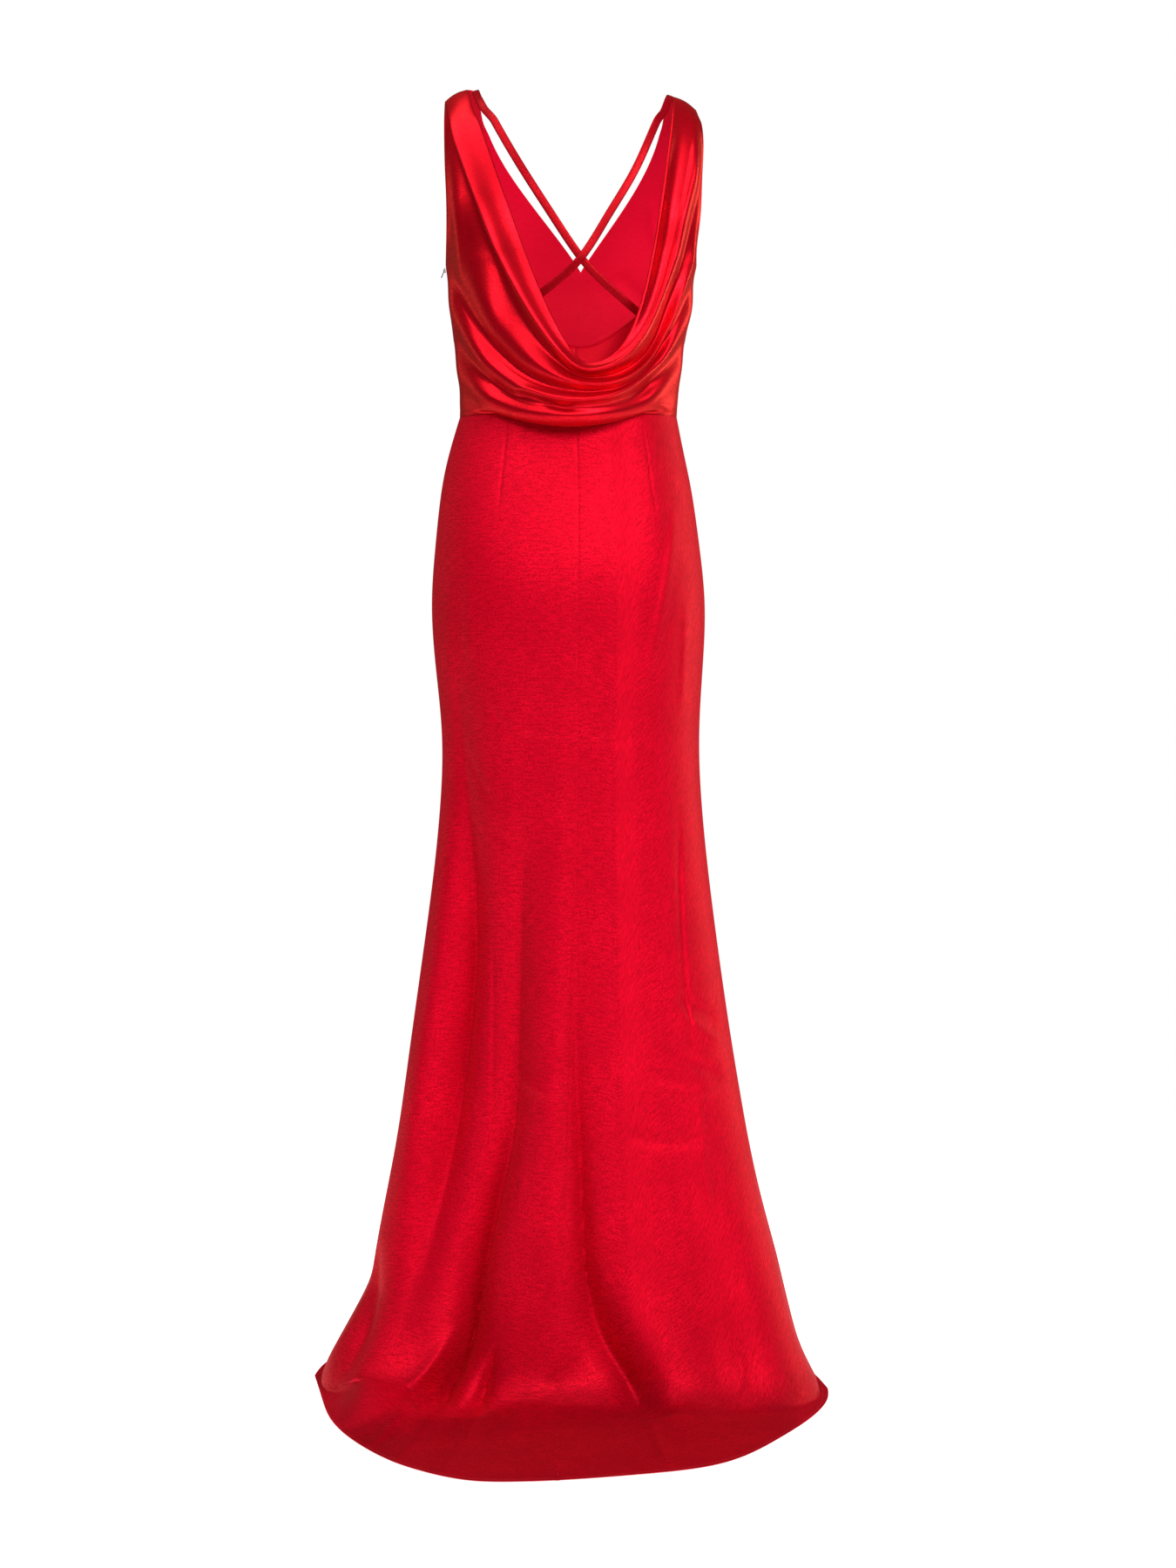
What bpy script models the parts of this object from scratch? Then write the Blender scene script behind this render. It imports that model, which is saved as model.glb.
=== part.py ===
"""Cowl-back maxi dress, worn by nobody: a satin evening dress that keeps the form it is worn in.

Metres, +Z up.  +Y is the wearer's front, -Y the back, -X the wearer's left.  The origin is the point
midway between the shoulder seams, where the wearer's shoulders hold the dress.  Heights named "height"
are measured from the floor, and point() turns them into the frame.

Each piece that is cut and sewn is one thin wall of its own.  Walls meet edge to edge at the seams.
"""
import math
from collections import namedtuple

import bmesh
import bpy
from mathutils import Vector

MM = 0.001
WALL = 1.5 * MM
SEAM_GAP = 0.3 * MM
SHOULDER_GAP = 0.5 * MM
SIDE_SEAM_GAP = 0.5 * MM

SHOULDER_HEIGHT = 1.477
SHOULDER_CROWN = 1.4808
UNDERARM_HEIGHT = 1.280
WAIST_HEIGHT = 1.108
SHOULDER_SLOPE = 0.30
SHOULDER_TILT = 0.034
NECK_POINT = 0.106
BACK_YOKE_CURVE = 2.5
FRONT_YOKE_CURVE = 1.6
YOKE_SPREAD = 0.021

# ---- the figure that the dress is cut for -------------------------------------------------------

BodiceRing = namedtuple("BodiceRing", "level left right back front square")
BODICE_RINGS = (
    BodiceRing(0.00, 0.1265, 0.1215, 0.088, 0.092, 2.3),
    BodiceRing(0.25, 0.1270, 0.1245, 0.088, 0.100, 2.3),
    BodiceRing(0.50, 0.1330, 0.1305, 0.090, 0.110, 2.3),
    BodiceRing(0.75, 0.1375, 0.1380, 0.094, 0.117, 2.3),
    BodiceRing(0.90, 0.1395, 0.1405, 0.097, 0.119, 2.3),
    BodiceRing(1.00, 0.1425, 0.1440, 0.098, 0.118, 2.3),
)

SkirtRing = namedtuple("SkirtRing", "height left right centre back front square drawn_left drawn_right")
SKIRT_RINGS = (
    SkirtRing(1.1077, 0.1265, 0.1215, 0.0060, 0.088, 0.092, 2.30, 0.000, 0.000),
    SkirtRing(1.0650, 0.1390, 0.1300, 0.0080, 0.099, 0.098, 2.30, 0.000, 0.000),
    SkirtRing(1.0200, 0.1480, 0.1390, 0.0090, 0.113, 0.102, 2.30, 0.000, 0.000),
    SkirtRing(0.9600, 0.1545, 0.1475, 0.0090, 0.128, 0.106, 2.30, 0.000, 0.000),
    SkirtRing(0.8950, 0.1585, 0.1535, 0.0090, 0.133, 0.107, 2.30, 0.000, 0.000),
    SkirtRing(0.8250, 0.1545, 0.1515, 0.0088, 0.127, 0.105, 2.30, 0.000, 0.000),
    SkirtRing(0.7450, 0.1475, 0.1475, 0.0085, 0.116, 0.103, 2.30, 0.000, 0.000),
    SkirtRing(0.6650, 0.1495, 0.1505, 0.0075, 0.110, 0.104, 2.30, 0.000, 0.000),
    SkirtRing(0.5800, 0.1580, 0.1590, 0.0060, 0.109, 0.109, 2.30, 0.000, 0.000),
    SkirtRing(0.4800, 0.1715, 0.1720, 0.0030, 0.109, 0.119, 2.30, 0.000, 0.002),
    SkirtRing(0.3800, 0.1855, 0.1870, 0.0000, 0.110, 0.132, 2.30, 0.000, 0.005),
    SkirtRing(0.2900, 0.1985, 0.2025, -0.0025, 0.112, 0.146, 2.40, 0.000, 0.010),
    SkirtRing(0.2100, 0.2135, 0.2180, -0.0055, 0.115, 0.159, 2.40, 0.000, 0.016),
    SkirtRing(0.1480, 0.2250, 0.2340, -0.0085, 0.119, 0.170, 2.45, 0.000, 0.022),
    SkirtRing(0.1120, 0.2325, 0.2430, -0.0105, 0.122, 0.176, 2.55, 0.000, 0.026),
    SkirtRing(0.0820, 0.2475, 0.2510, -0.0120, 0.126, 0.182, 2.55, 0.000, 0.030),
    SkirtRing(0.0500, 0.2655, 0.2610, -0.0135, 0.132, 0.189, 2.60, -0.003, 0.034),
    SkirtRing(0.0250, 0.2790, 0.2725, -0.0150, 0.141, 0.197, 2.65, -0.007, 0.037),
    SkirtRing(0.0090, 0.2860, 0.2815, -0.0160, 0.158, 0.204, 2.60, -0.012, 0.039),
)
FLOOR_RING = len(SKIRT_RINGS) - 1

# From the floor ring the cloth lies on the floor as far as the hem.  "part" is how much of that way
# each ring has gone.
TrainRing = namedtuple("TrainRing", "height part")
TRAIN_RINGS = (
    TrainRing(0.0025, 0.12),
    TrainRing(0.0010, 0.31),
    TrainRing(0.0009, 0.54),
    TrainRing(0.0009, 0.78),
    TrainRing(0.0009, 1.00),
)
HEM_RING = FLOOR_RING + len(TRAIN_RINGS)

HemStop = namedtuple("HemStop", "across x y")
BACK_HEM = (
    HemStop(-1.00, -0.2966, 0.018),
    HemStop(-0.86, -0.2815, -0.078),
    HemStop(-0.70, -0.2650, -0.173),
    HemStop(-0.53, -0.2360, -0.264),
    HemStop(-0.36, -0.1917, -0.350),
    HemStop(-0.26, -0.1586, -0.392),
    HemStop(-0.16, -0.1040, -0.434),
    HemStop(-0.08, -0.0570, -0.440),
    HemStop(0.00, -0.0110, -0.4345),
    HemStop(0.13, 0.0660, -0.414),
    HemStop(0.26, 0.1310, -0.389),
    HemStop(0.39, 0.1770, -0.349),
    HemStop(0.57, 0.2262, -0.264),
    HemStop(0.75, 0.2670, -0.173),
    HemStop(0.90, 0.2895, -0.093),
    HemStop(1.00, 0.2935, -0.045),
)
FRONT_HEM = (
    HemStop(-1.00, -0.2966, 0.018),
    HemStop(-0.80, -0.2835, 0.098),
    HemStop(-0.60, -0.2410, 0.155),
    HemStop(-0.40, -0.1760, 0.192),
    HemStop(0.00, -0.0040, 0.220),
    HemStop(0.40, 0.1730, 0.185),
    HemStop(0.60, 0.2370, 0.137),
    HemStop(0.80, 0.2750, 0.058),
    HemStop(1.00, 0.2935, -0.045),
)

# ---- the deepest folds of the skirt -------------------------------------------------------------
# "across" runs from -1 at the left side seam through 0 at the centre back to 1 at the right side seam.

SkirtFold = namedtuple("SkirtFold", "name starts across_top across_floor swell width reach")
BACK_FOLDS = (
    SkirtFold("ridge left of centre seam", 0.62, -0.015, -0.090, 0.016, 0.085, 0.45),
    SkirtFold("groove right of centre seam", 0.40, 0.025, 0.185, -0.030, 0.060, 0.22),
    SkirtFold("ridge right of the groove", 0.50, 0.110, 0.290, 0.014, 0.100, 0.50),
    SkirtFold("groove towards left side", 0.42, -0.190, -0.375, -0.030, 0.065, 0.22),
    SkirtFold("roll left of that groove", 0.45, -0.340, -0.520, 0.012, 0.110, 0.50),
    SkirtFold("short pinch at the break", 0.09, -0.225, -0.262, -0.018, 0.040, 0.15),
    SkirtFold("groove in front of left side", 0.16, -0.700, -0.760, -0.020, 0.060, 0.25),
    SkirtFold("flare at left side seam", 0.15, -0.930, -0.930, 0.008, 0.120, 0.90),
    SkirtFold("soft hollow towards right side", 0.30, 0.500, 0.560, -0.010, 0.100, 0.30),
)
FRONT_FOLDS = (
    SkirtFold("flute under left hip", 0.60, -0.420, -0.480, 0.016, 0.150, 1.00),
    SkirtFold("hollow beside it", 0.55, -0.180, -0.200, -0.012, 0.130, 1.00),
    SkirtFold("flute at centre", 0.50, 0.060, 0.080, 0.014, 0.150, 1.00),
    SkirtFold("hollow right of centre", 0.55, 0.330, 0.350, -0.012, 0.130, 1.00),
    SkirtFold("flute under right hip", 0.60, 0.560, 0.620, 0.016, 0.150, 1.00),
)

# ---- the drape of the cowl ----------------------------------------------------------------------
# One row for each ridge or hollow that hangs in a U from the left edge to the right edge.
# "left" and "right" say where it leaves the edges: 0 neck point, 0.07 shoulder tip, 0.6 underarm,
# 1 waist seam.  The lifts are how far the cloth stands off the body at the left, middle and right.

Swag = namedtuple("Swag", "name left right low_x low_height left_bend right_bend lift_l lift_m lift_r")
COWL_SWAGS = (
    Swag("neck edge", 0.000, 0.000, 0.019, 1.1610, 1.08, 2.50, 0.010, 0.042, 0.010),
    Swag("first roll", 0.035, 0.045, 0.016, 1.1525, 1.35, 2.50, 0.017, 0.047, 0.015),
    Swag("first hollow", 0.100, 0.170, 0.020, 1.1445, 1.75, 2.60, 0.003, 0.034, 0.004),
    Swag("second roll", 0.270, 0.330, 0.027, 1.1360, 2.40, 2.60, 0.012, 0.046, 0.010),
    Swag("second hollow", 0.430, 0.470, 0.020, 1.1280, 2.30, 2.50, 0.003, 0.034, 0.003),
    Swag("third roll", 0.600, 0.600, 0.010, 1.1200, 2.20, 2.40, 0.010, 0.045, 0.010),
    Swag("third hollow", 0.720, 0.710, 0.006, 1.1115, 2.20, 2.30, 0.003, 0.033, 0.004),
    Swag("waist roll", 0.850, 0.845, 0.002, 1.1010, 2.20, 2.30, 0.008, 0.038, 0.008),
    Swag("underside of the blousing", 0.920, 0.920, 0.000, 1.0915, 2.10, 2.10, 0.005, 0.027, 0.005),
    Swag("turn to the waist seam", 0.965, 0.965, 0.000, 1.0990, 2.00, 2.00, 0.003, 0.014, 0.003),
    Swag("lip over the waist seam", 0.990, 0.990, 0.000, 1.1096, 2.00, 2.00, 0.001, 0.005, 0.001),
    Swag("waist seam", 1.000, 1.000, 0.000, 1.1096, 2.00, 2.00, 0.000, 0.000, 0.000),
)

ArmholeStep = namedtuple("ArmholeStep", "along level left right")
COWL_ARMHOLE = (
    ArmholeStep(0.07, 2.00, 0.1430, 0.1430),
    ArmholeStep(0.20, 1.80, 0.1428, 0.1505),
    ArmholeStep(0.34, 1.52, 0.1412, 0.1490),
    ArmholeStep(0.47, 1.25, 0.1395, 0.1465),
    ArmholeStep(0.54, 1.10, 0.1408, 0.1435),
    ArmholeStep(0.60, 1.00, 0.1425, 0.1440),
)
FRONT_ARMHOLE = (
    ArmholeStep(0.00, 1.00, 0.1425, 0.1440),
    ArmholeStep(0.15, 1.15, 0.1300, 0.1300),
    ArmholeStep(0.40, 1.40, 0.1230, 0.1240),
    ArmholeStep(0.70, 1.70, 0.1270, 0.1290),
    ArmholeStep(1.00, 2.00, 0.1430, 0.1430),
)
COWL_NECK_LEFT = 0.118
COWL_NECK_RIGHT = 0.119
SHOULDER_TIP_ALONG = 0.07
UNDERARM_ALONG = 0.60
LIFT_FADE = 0.24
EDGE_ROLL_RADIUS = 2.2 * MM
EDGE_FACING = 10.0 * MM
LOW_ROUNDING = 0.20
LAST_STEP = 0.985
LOW_CROWD = 1.22

# ---- front neckline, under-bodice and straps ----------------------------------------------------

NECK_BASE_LEVEL = 1.022
NECK_SHIFT = 0.0115
NECK_SWEEP = 1.06
UNDER_CENTRE = 0.0055
UNDER_LOW_X = 0.012
UNDER_LOW_HEIGHT = 1.183
UNDER_RISE = 0.079
UNDER_BEND = 1.2
UNDER_INSET = 2.3 * MM

STRAP_WIDTH = 8.5 * MM
STRAP_OFF_BODY = 1.2 * MM
STRAP_END_LIFT = -0.4 * MM
STRAP_CROWD = 1.5
STRAP_CROSS_LIFT = 2.25 * MM
STRAP_CROSS_REACH = 0.022
STRAP_STEPS = 24
StrapStop = namedtuple("StrapStop", "x height")
LEFT_STRAP = (
    StrapStop(-0.1095, 1.4836),
    StrapStop(-0.0813, 1.4298),
    StrapStop(-0.0516, 1.3777),
    StrapStop(-0.0201, 1.3280),
    StrapStop(0.0122, 1.2804),
    StrapStop(0.0440, 1.2480),
    StrapStop(0.0865, 1.2125),
)
RIGHT_STRAP = (
    StrapStop(0.1110, 1.4758),
    StrapStop(0.0941, 1.4298),
    StrapStop(0.0715, 1.3777),
    StrapStop(0.0425, 1.3280),
    StrapStop(0.0122, 1.2804),
    StrapStop(-0.0230, 1.2485),
    StrapStop(-0.0660, 1.2140),
)

# ---- zip of the left side seam: its slider and the pull that swings on it -----------------------
# Measured from the pull's hinge line: out of the seam, along the seam, and across it.

ZIP_HINGE_HEIGHT = 1.2755
PLATE_OFF_CLOTH = 0.45 * MM
PLATE_THICKNESS = 0.6 * MM
PLATE_WIDTH = 3.6 * MM
PLATE_LENGTH = 5.4 * MM
BRIDGE_WIDTH = 1.2 * MM
BRIDGE_LENGTH = 3.8 * MM
BRIDGE_THICKNESS = 0.5 * MM
PULL_BAR_RADIUS = 0.4 * MM
PULL_CLEARANCE = 0.2 * MM
PULL_THICKNESS = 0.8 * MM
PULL_WIDTH = 3.4 * MM
PULL_WAIST = 2.0 * MM
PULL_LENGTH = 9.0 * MM
PULL_SLOT_WIDTH = 1.7 * MM
PULL_SLOT_LENGTH = 2.6 * MM
PULL_TILT = math.radians(24.0)

# ---- how finely each piece is divided -----------------------------------------------------------

BACK_SKIRT_COLUMNS = 16
FRONT_SKIRT_COLUMNS = 16
COWL_COLUMNS = 26
COWL_STEPS_PER_SWAG = 2
BODICE_COLUMNS = 7
UNDER_COLUMNS = 10
UNDER_ROWS = 4

SATIN_RED = (0.58, 0.008, 0.018, 1.0)
WRONG_SIDE_RED = (0.50, 0.002, 0.016, 1.0)
ZIP_METAL = (0.10, 0.035, 0.035, 1.0)


def point(x, y, height):
    """A place given by its height above the floor, in the frame of the dress."""
    return Vector((x, y, height - SHOULDER_HEIGHT))


def ease(amount):
    """0 to 1 with a soft start and a soft stop."""
    amount = min(1.0, max(0.0, amount))
    return amount * amount * (3.0 - 2.0 * amount)


def through(keys, values, key):
    """A smooth curve through values at keys, read at key."""
    last = len(keys) - 1
    if key <= keys[0]:
        return values[0]
    if key >= keys[last]:
        return values[last]
    index = max(i for i in range(last) if keys[i] <= key)
    span = keys[index + 1] - keys[index]

    def slope(i):
        low, high = max(0, i - 1), min(last, i + 1)
        return (values[high] - values[low]) / (keys[high] - keys[low])

    part = (key - keys[index]) / span
    square, cube = part * part, part ** 3
    return ((2 * cube - 3 * square + 1) * values[index]
            + (cube - 2 * square + part) * span * slope(index)
            + (3 * square - 2 * cube) * values[index + 1]
            + (cube - square) * span * slope(index + 1))


def read_table(table, keys, key):
    """All numeric columns of a table of named rows, read at key."""
    row = table[0]
    columns = [name for name in row._fields if name != "name"]
    return {name: through(keys, [getattr(step, name) for step in table], key) for name in columns}


# ---- the figure above the waist -----------------------------------------------------------------

BODICE_LEVELS = [ring.level for ring in BODICE_RINGS]


def shoulder_height(x):
    """The shoulder seam falls away from the neck, a little lower on the right."""
    return SHOULDER_CROWN - SHOULDER_SLOPE * (abs(x) - NECK_POINT) - SHOULDER_TILT * x


def height_at(x, level):
    """Level 0 is the waist, 1 the underarm and 2 the shoulder seam."""
    if level <= 1.0:
        return WAIST_HEIGHT + level * (UNDERARM_HEIGHT - WAIST_HEIGHT)
    return UNDERARM_HEIGHT + (level - 1.0) * (shoulder_height(x) - UNDERARM_HEIGHT)


def level_at(x, height):
    """The level of a height, the other way round."""
    if height <= UNDERARM_HEIGHT:
        return max(0.0, (height - WAIST_HEIGHT) / (UNDERARM_HEIGHT - WAIST_HEIGHT))
    return min(2.0, 1.0 + (height - UNDERARM_HEIGHT) / (shoulder_height(x) - UNDERARM_HEIGHT))


def bodice_ring(level):
    """Half widths, depths and squareness of the figure at a level."""
    ring = read_table(BODICE_RINGS, BODICE_LEVELS, min(1.0, level))
    rise = max(0.0, level - 1.0)
    spread = YOKE_SPREAD * ease(rise / 0.35)
    ring["left"] += spread
    ring["right"] += spread
    ring["back"] *= max(0.0, 1.0 - rise ** BACK_YOKE_CURVE) ** 0.5
    ring["front"] *= max(0.0, 1.0 - rise ** FRONT_YOKE_CURVE) ** 0.5
    return ring


def across_at(x, level):
    """Where x lies between the centre, 0, and the sides, -1 and 1."""
    ring = bodice_ring(level)
    half = ring["right"] if x > 0 else ring["left"]
    return 2.0 / math.pi * math.asin(max(-1.0, min(1.0, x / half)))


def bodice_surface(across, level, face):
    """A place on the figure; face is 1 on the front and -1 on the back."""
    ring = bodice_ring(level)
    swing = math.sin(math.pi / 2.0 * across)
    x = swing * (ring["right"] if across > 0 else ring["left"])
    depth = ring["front"] if face > 0 else ring["back"]
    reach = max(0.0, 1.0 - abs(swing) ** ring["square"]) ** (1.0 / ring["square"])
    gap = SHOULDER_GAP if level > 1.0 else SEAM_GAP
    return point(x, face * (depth * reach + gap / 2.0), height_at(x, level))


def normal_of(surface, across, down, outwards):
    """The surface's own direction outwards, from two short steps on it."""
    step = 0.004
    side = surface(min(1.0, across + step), down) - surface(max(-1.0, across - step), down)
    fall = surface(across, down + step) - surface(across, down - step)
    normal = side.cross(fall).normalized()
    return normal if normal.dot(outwards) > 0 else -normal


def on_bodice(x, height, face, lift):
    """A place lifted off the figure by the given distance."""
    level = min(1.985, level_at(x, height))
    across = across_at(x, level)
    base = bodice_surface(across, level_at(x, height), face)
    outwards = Vector((x * 2.0, face * 1.0, 0.3))
    normal = normal_of(lambda a, b: bodice_surface(a, b, face), across, level, outwards)
    return base + lift * normal


# ---- making walls out of points -----------------------------------------------------------------

def satin(name, colour, roughness, metallic=0.0):
    """A plain finish for one piece."""
    material = bpy.data.materials.new(name)
    material.use_nodes = True
    shader = material.node_tree.nodes["Principled BSDF"]
    shader.inputs["Base Color"].default_value = colour
    shader.inputs["Roughness"].default_value = roughness
    shader.inputs["Metallic"].default_value = metallic
    return material


def add_object(name, mesh, colour, roughness=0.38, metallic=0.0):
    """Puts a mesh in the scene with its own material."""
    mesh.materials.append(satin(name, colour, roughness, metallic))
    piece = bpy.data.objects.new(name, mesh)
    bpy.context.scene.collection.objects.link(piece)
    return piece


def closed_mesh(name, points, faces):
    """A mesh with its normals turned outwards."""
    mesh = bpy.data.meshes.new(name)
    mesh.from_pydata(points, [], faces)
    edit = bmesh.new()
    edit.from_mesh(mesh)
    bmesh.ops.recalc_face_normals(edit, faces=edit.faces)
    edit.to_mesh(mesh)
    edit.free()
    return mesh


def wall_from_faces(name, points, faces, colour=SATIN_RED):
    """A sheet through the points, thickened evenly to both sides."""
    mesh = bpy.data.meshes.new(name)
    mesh.from_pydata(points, [], faces)
    mesh.validate()
    mesh.shade_smooth()
    piece = add_object(name, mesh, colour)
    wall = piece.modifiers.new("wall", "SOLIDIFY")
    wall.thickness = WALL
    wall.offset = 0.0
    return piece


def wall_from_rows(name, rows, colour=SATIN_RED):
    """A wall through rows of points of equal length."""
    width = len(rows[0])
    points = [place for row in rows for place in row]
    faces = []
    for r in range(len(rows) - 1):
        for c in range(width - 1):
            corner = r * width + c
            faces.append((corner, corner + 1, corner + width + 1, corner + width))
    return wall_from_faces(name, points, faces, colour)


# ---- skirt --------------------------------------------------------------------------------------

RING_NUMBERS = list(range(len(SKIRT_RINGS)))
TRAIN_NUMBERS = list(range(FLOOR_RING, HEM_RING + 1))


def ring_height(number):
    """Height above the floor of a ring of the skirt, counted from the waist."""
    if number <= FLOOR_RING:
        return through(RING_NUMBERS, [ring.height for ring in SKIRT_RINGS], number)
    heights = [SKIRT_RINGS[-1].height] + [ring.height for ring in TRAIN_RINGS]
    return through(TRAIN_NUMBERS, heights, number)


def skirt_surface(across, number, face):
    """A place on the unfolded skirt, at a ring number counted from the waist."""
    ring = read_table(SKIRT_RINGS, RING_NUMBERS, number)
    swing = math.sin(math.pi / 2.0 * across)
    column = "right" if across > 0 else "left"
    middle = ring["centre"] * (1.0 - abs(swing))
    x = swing * ring[column] + middle
    depth = ring["front"] if face > 0 else ring["back"]
    reach = max(0.0, 1.0 - abs(swing) ** ring["square"]) ** (1.0 / ring["square"])
    y = face * depth * reach - ring["drawn_" + column] * swing * swing
    if number > FLOOR_RING:
        stops = FRONT_HEM if face > 0 else BACK_HEM
        hem = read_table(stops, [stop.across for stop in stops], across)
        part = through(TRAIN_NUMBERS, [0.0] + [row.part for row in TRAIN_RINGS], number)
        x += (hem["x"] - x) * part
        y += (hem["y"] - y) * part
    return point(x, y + face * SIDE_SEAM_GAP / 2.0, ring_height(number))


def fold_lift(folds, across, number):
    """How far the folds move the cloth outwards, or upwards where it lies on the floor."""
    height = ring_height(number)
    lying = max(0.0, (number - FLOOR_RING) / (HEM_RING - FLOOR_RING))
    total = 0.0
    for fold in folds:
        grown = ease((fold.starts - height) / fold.starts)
        centre = fold.across_top + (fold.across_floor - fold.across_top) * grown
        shape = math.exp(-((across - centre) / fold.width) ** 2)
        total += fold.swell * grown * shape * (1.0 - ease(lying / fold.reach))
    return total


def skirt_point(folds, across, number, face):
    """A place on the folded skirt, never below the floor."""
    def surface(a, b):
        return skirt_surface(a, b, face)

    base = surface(across, number)
    side = min(0.985, max(-0.985, across))
    outwards = Vector((base.x, base.y, 0.15))
    normal = normal_of(surface, side, min(HEM_RING - 0.01, max(0.01, number)), outwards)
    at_seam = ease((1.0 - abs(across)) / 0.05)
    place = base + normal * fold_lift(folds, across, number) * at_seam
    place.z = max(place.z, WALL / 2.0 + 0.0001 - SHOULDER_HEIGHT)
    return place


def spread(first, last, count, crowd=1.0):
    """Even steps from first to last; crowd over 1 draws them towards first."""
    return [first + (last - first) * (i / count) ** crowd for i in range(count + 1)]


def make_skirt_front():
    """The front panel, from side seam to side seam, its hem just on the floor."""
    rows = []
    for number in range(HEM_RING + 1):
        columns = spread(-1.0, 1.0, FRONT_SKIRT_COLUMNS)
        rows.append([skirt_point(FRONT_FOLDS, a, number, 1) for a in columns])
    wall_from_rows("skirt_front", rows)


def make_skirt_back(name, side):
    """One back panel, from the centre seam to its side seam, with its half of the train."""
    rows = []
    for number in range(HEM_RING + 1):
        row = []
        for a in spread(0.0, 1.0, BACK_SKIRT_COLUMNS, 1.15):
            place = skirt_point(BACK_FOLDS, side * a, number, -1)
            place.x += side * SEAM_GAP / 2.0 if a == 0.0 else 0.0
            row.append(place)
        rows.append(row)
    wall_from_rows(name, rows)


# ---- front bodice -------------------------------------------------------------------------------

def front_edges(level):
    """Outer and inner edges of both halves of the front, as places across the figure."""
    shift = NECK_SHIFT * (1.0 - 0.85 * ease(level - 1.0))
    open_part = max(0.0, (level - NECK_BASE_LEVEL) / (2.0 - NECK_BASE_LEVEL))
    half = NECK_POINT * math.sin(math.pi / 2.0 * open_part) ** NECK_SWEEP
    inner = (across_at(shift - half, level), across_at(shift + half, level))
    if level <= 1.0:
        return (-1.0, inner[0]), (inner[1], 1.0)
    steps = [step.level for step in FRONT_ARMHOLE]
    edge = read_table(FRONT_ARMHOLE, steps, level)
    return ((across_at(-edge["left"], level), inner[0]),
            (inner[1], across_at(edge["right"], level)))


def make_front_bodice():
    """The V-necked front: one piece from side seam to side seam, two narrow shoulders above."""
    levels = spread(0.0, 1.0, 6) + [NECK_BASE_LEVEL]
    levels += [1.14, 1.24, 1.38, 1.53, 1.68, 1.82, 1.93, 1.985, 2.0]
    points, faces, rows = [], [], []
    for level in levels:
        left, right = front_edges(level)
        row = []
        for first, last in (left, right):
            half = []
            for a in spread(first, last, BODICE_COLUMNS):
                shared = level <= NECK_BASE_LEVEL and row and not half
                if shared:
                    half.append(row[0][-1])
                    continue
                points.append(bodice_surface(a, level, 1) + Vector((0.0, 0.0, SEAM_GAP / 2.0)))
                half.append(len(points) - 1)
            row.append(half)
        rows.append(row)
    for lower, upper in zip(rows, rows[1:]):
        for below, above in zip(lower, upper):
            for c in range(BODICE_COLUMNS):
                faces.append((below[c], below[c + 1], above[c + 1], above[c]))
    wall_from_faces("front_bodice", points, faces, WRONG_SIDE_RED)


# ---- cowl ---------------------------------------------------------------------------------------

SWAG_NUMBERS = list(range(len(COWL_SWAGS)))


def cowl_edge(along, side):
    """A place on the cowl's edge: shoulder, then armhole, then side seam.  Side is -1 or 1."""
    neck = COWL_NECK_RIGHT if side > 0 else COWL_NECK_LEFT
    column = "right" if side > 0 else "left"
    if along <= SHOULDER_TIP_ALONG:
        tip = getattr(COWL_ARMHOLE[0], column)
        return side * (neck + (tip - neck) * along / SHOULDER_TIP_ALONG), 2.0
    if along <= UNDERARM_ALONG:
        keys = [step.along for step in COWL_ARMHOLE]
        step = read_table(COWL_ARMHOLE, keys, along)
        return side * step[column], step["level"]
    level = 1.0 - (along - UNDERARM_ALONG) / (1.0 - UNDERARM_ALONG)
    return side * bodice_ring(level)[column], level


def hanging_line(low, end, bend, count):
    """Even steps along a branch of a swag, from its low point up to its end at the edge."""
    fine = 60
    base = LOW_ROUNDING ** bend
    places = []
    for i in range(fine + 1):
        part = i / fine
        rise = (math.hypot(part, LOW_ROUNDING) ** bend - base) / (math.hypot(1.0, LOW_ROUNDING) ** bend - base)
        places.append((low[0] + (end[0] - low[0]) * part, low[1] + (end[1] - low[1]) * rise))
    lengths = [0.0]
    worn = []
    for x, height in places:
        level = level_at(x, height)
        worn.append(bodice_surface(across_at(x, level), level, -1))
    for before, after in zip(worn, worn[1:]):
        lengths.append(lengths[-1] + (after - before).length)
    steps = []
    for share in spread(0.0, LAST_STEP, count - 1, LOW_CROWD) + [1.0]:
        wanted = lengths[-1] * share
        index = min(fine - 1, sum(1 for length in lengths[1:] if length < wanted))
        part = (wanted - lengths[index]) / (lengths[index + 1] - lengths[index])
        before, after = places[index], places[index + 1]
        steps.append((before[0] + (after[0] - before[0]) * part,
                      before[1] + (after[1] - before[1]) * part))
    return steps


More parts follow.
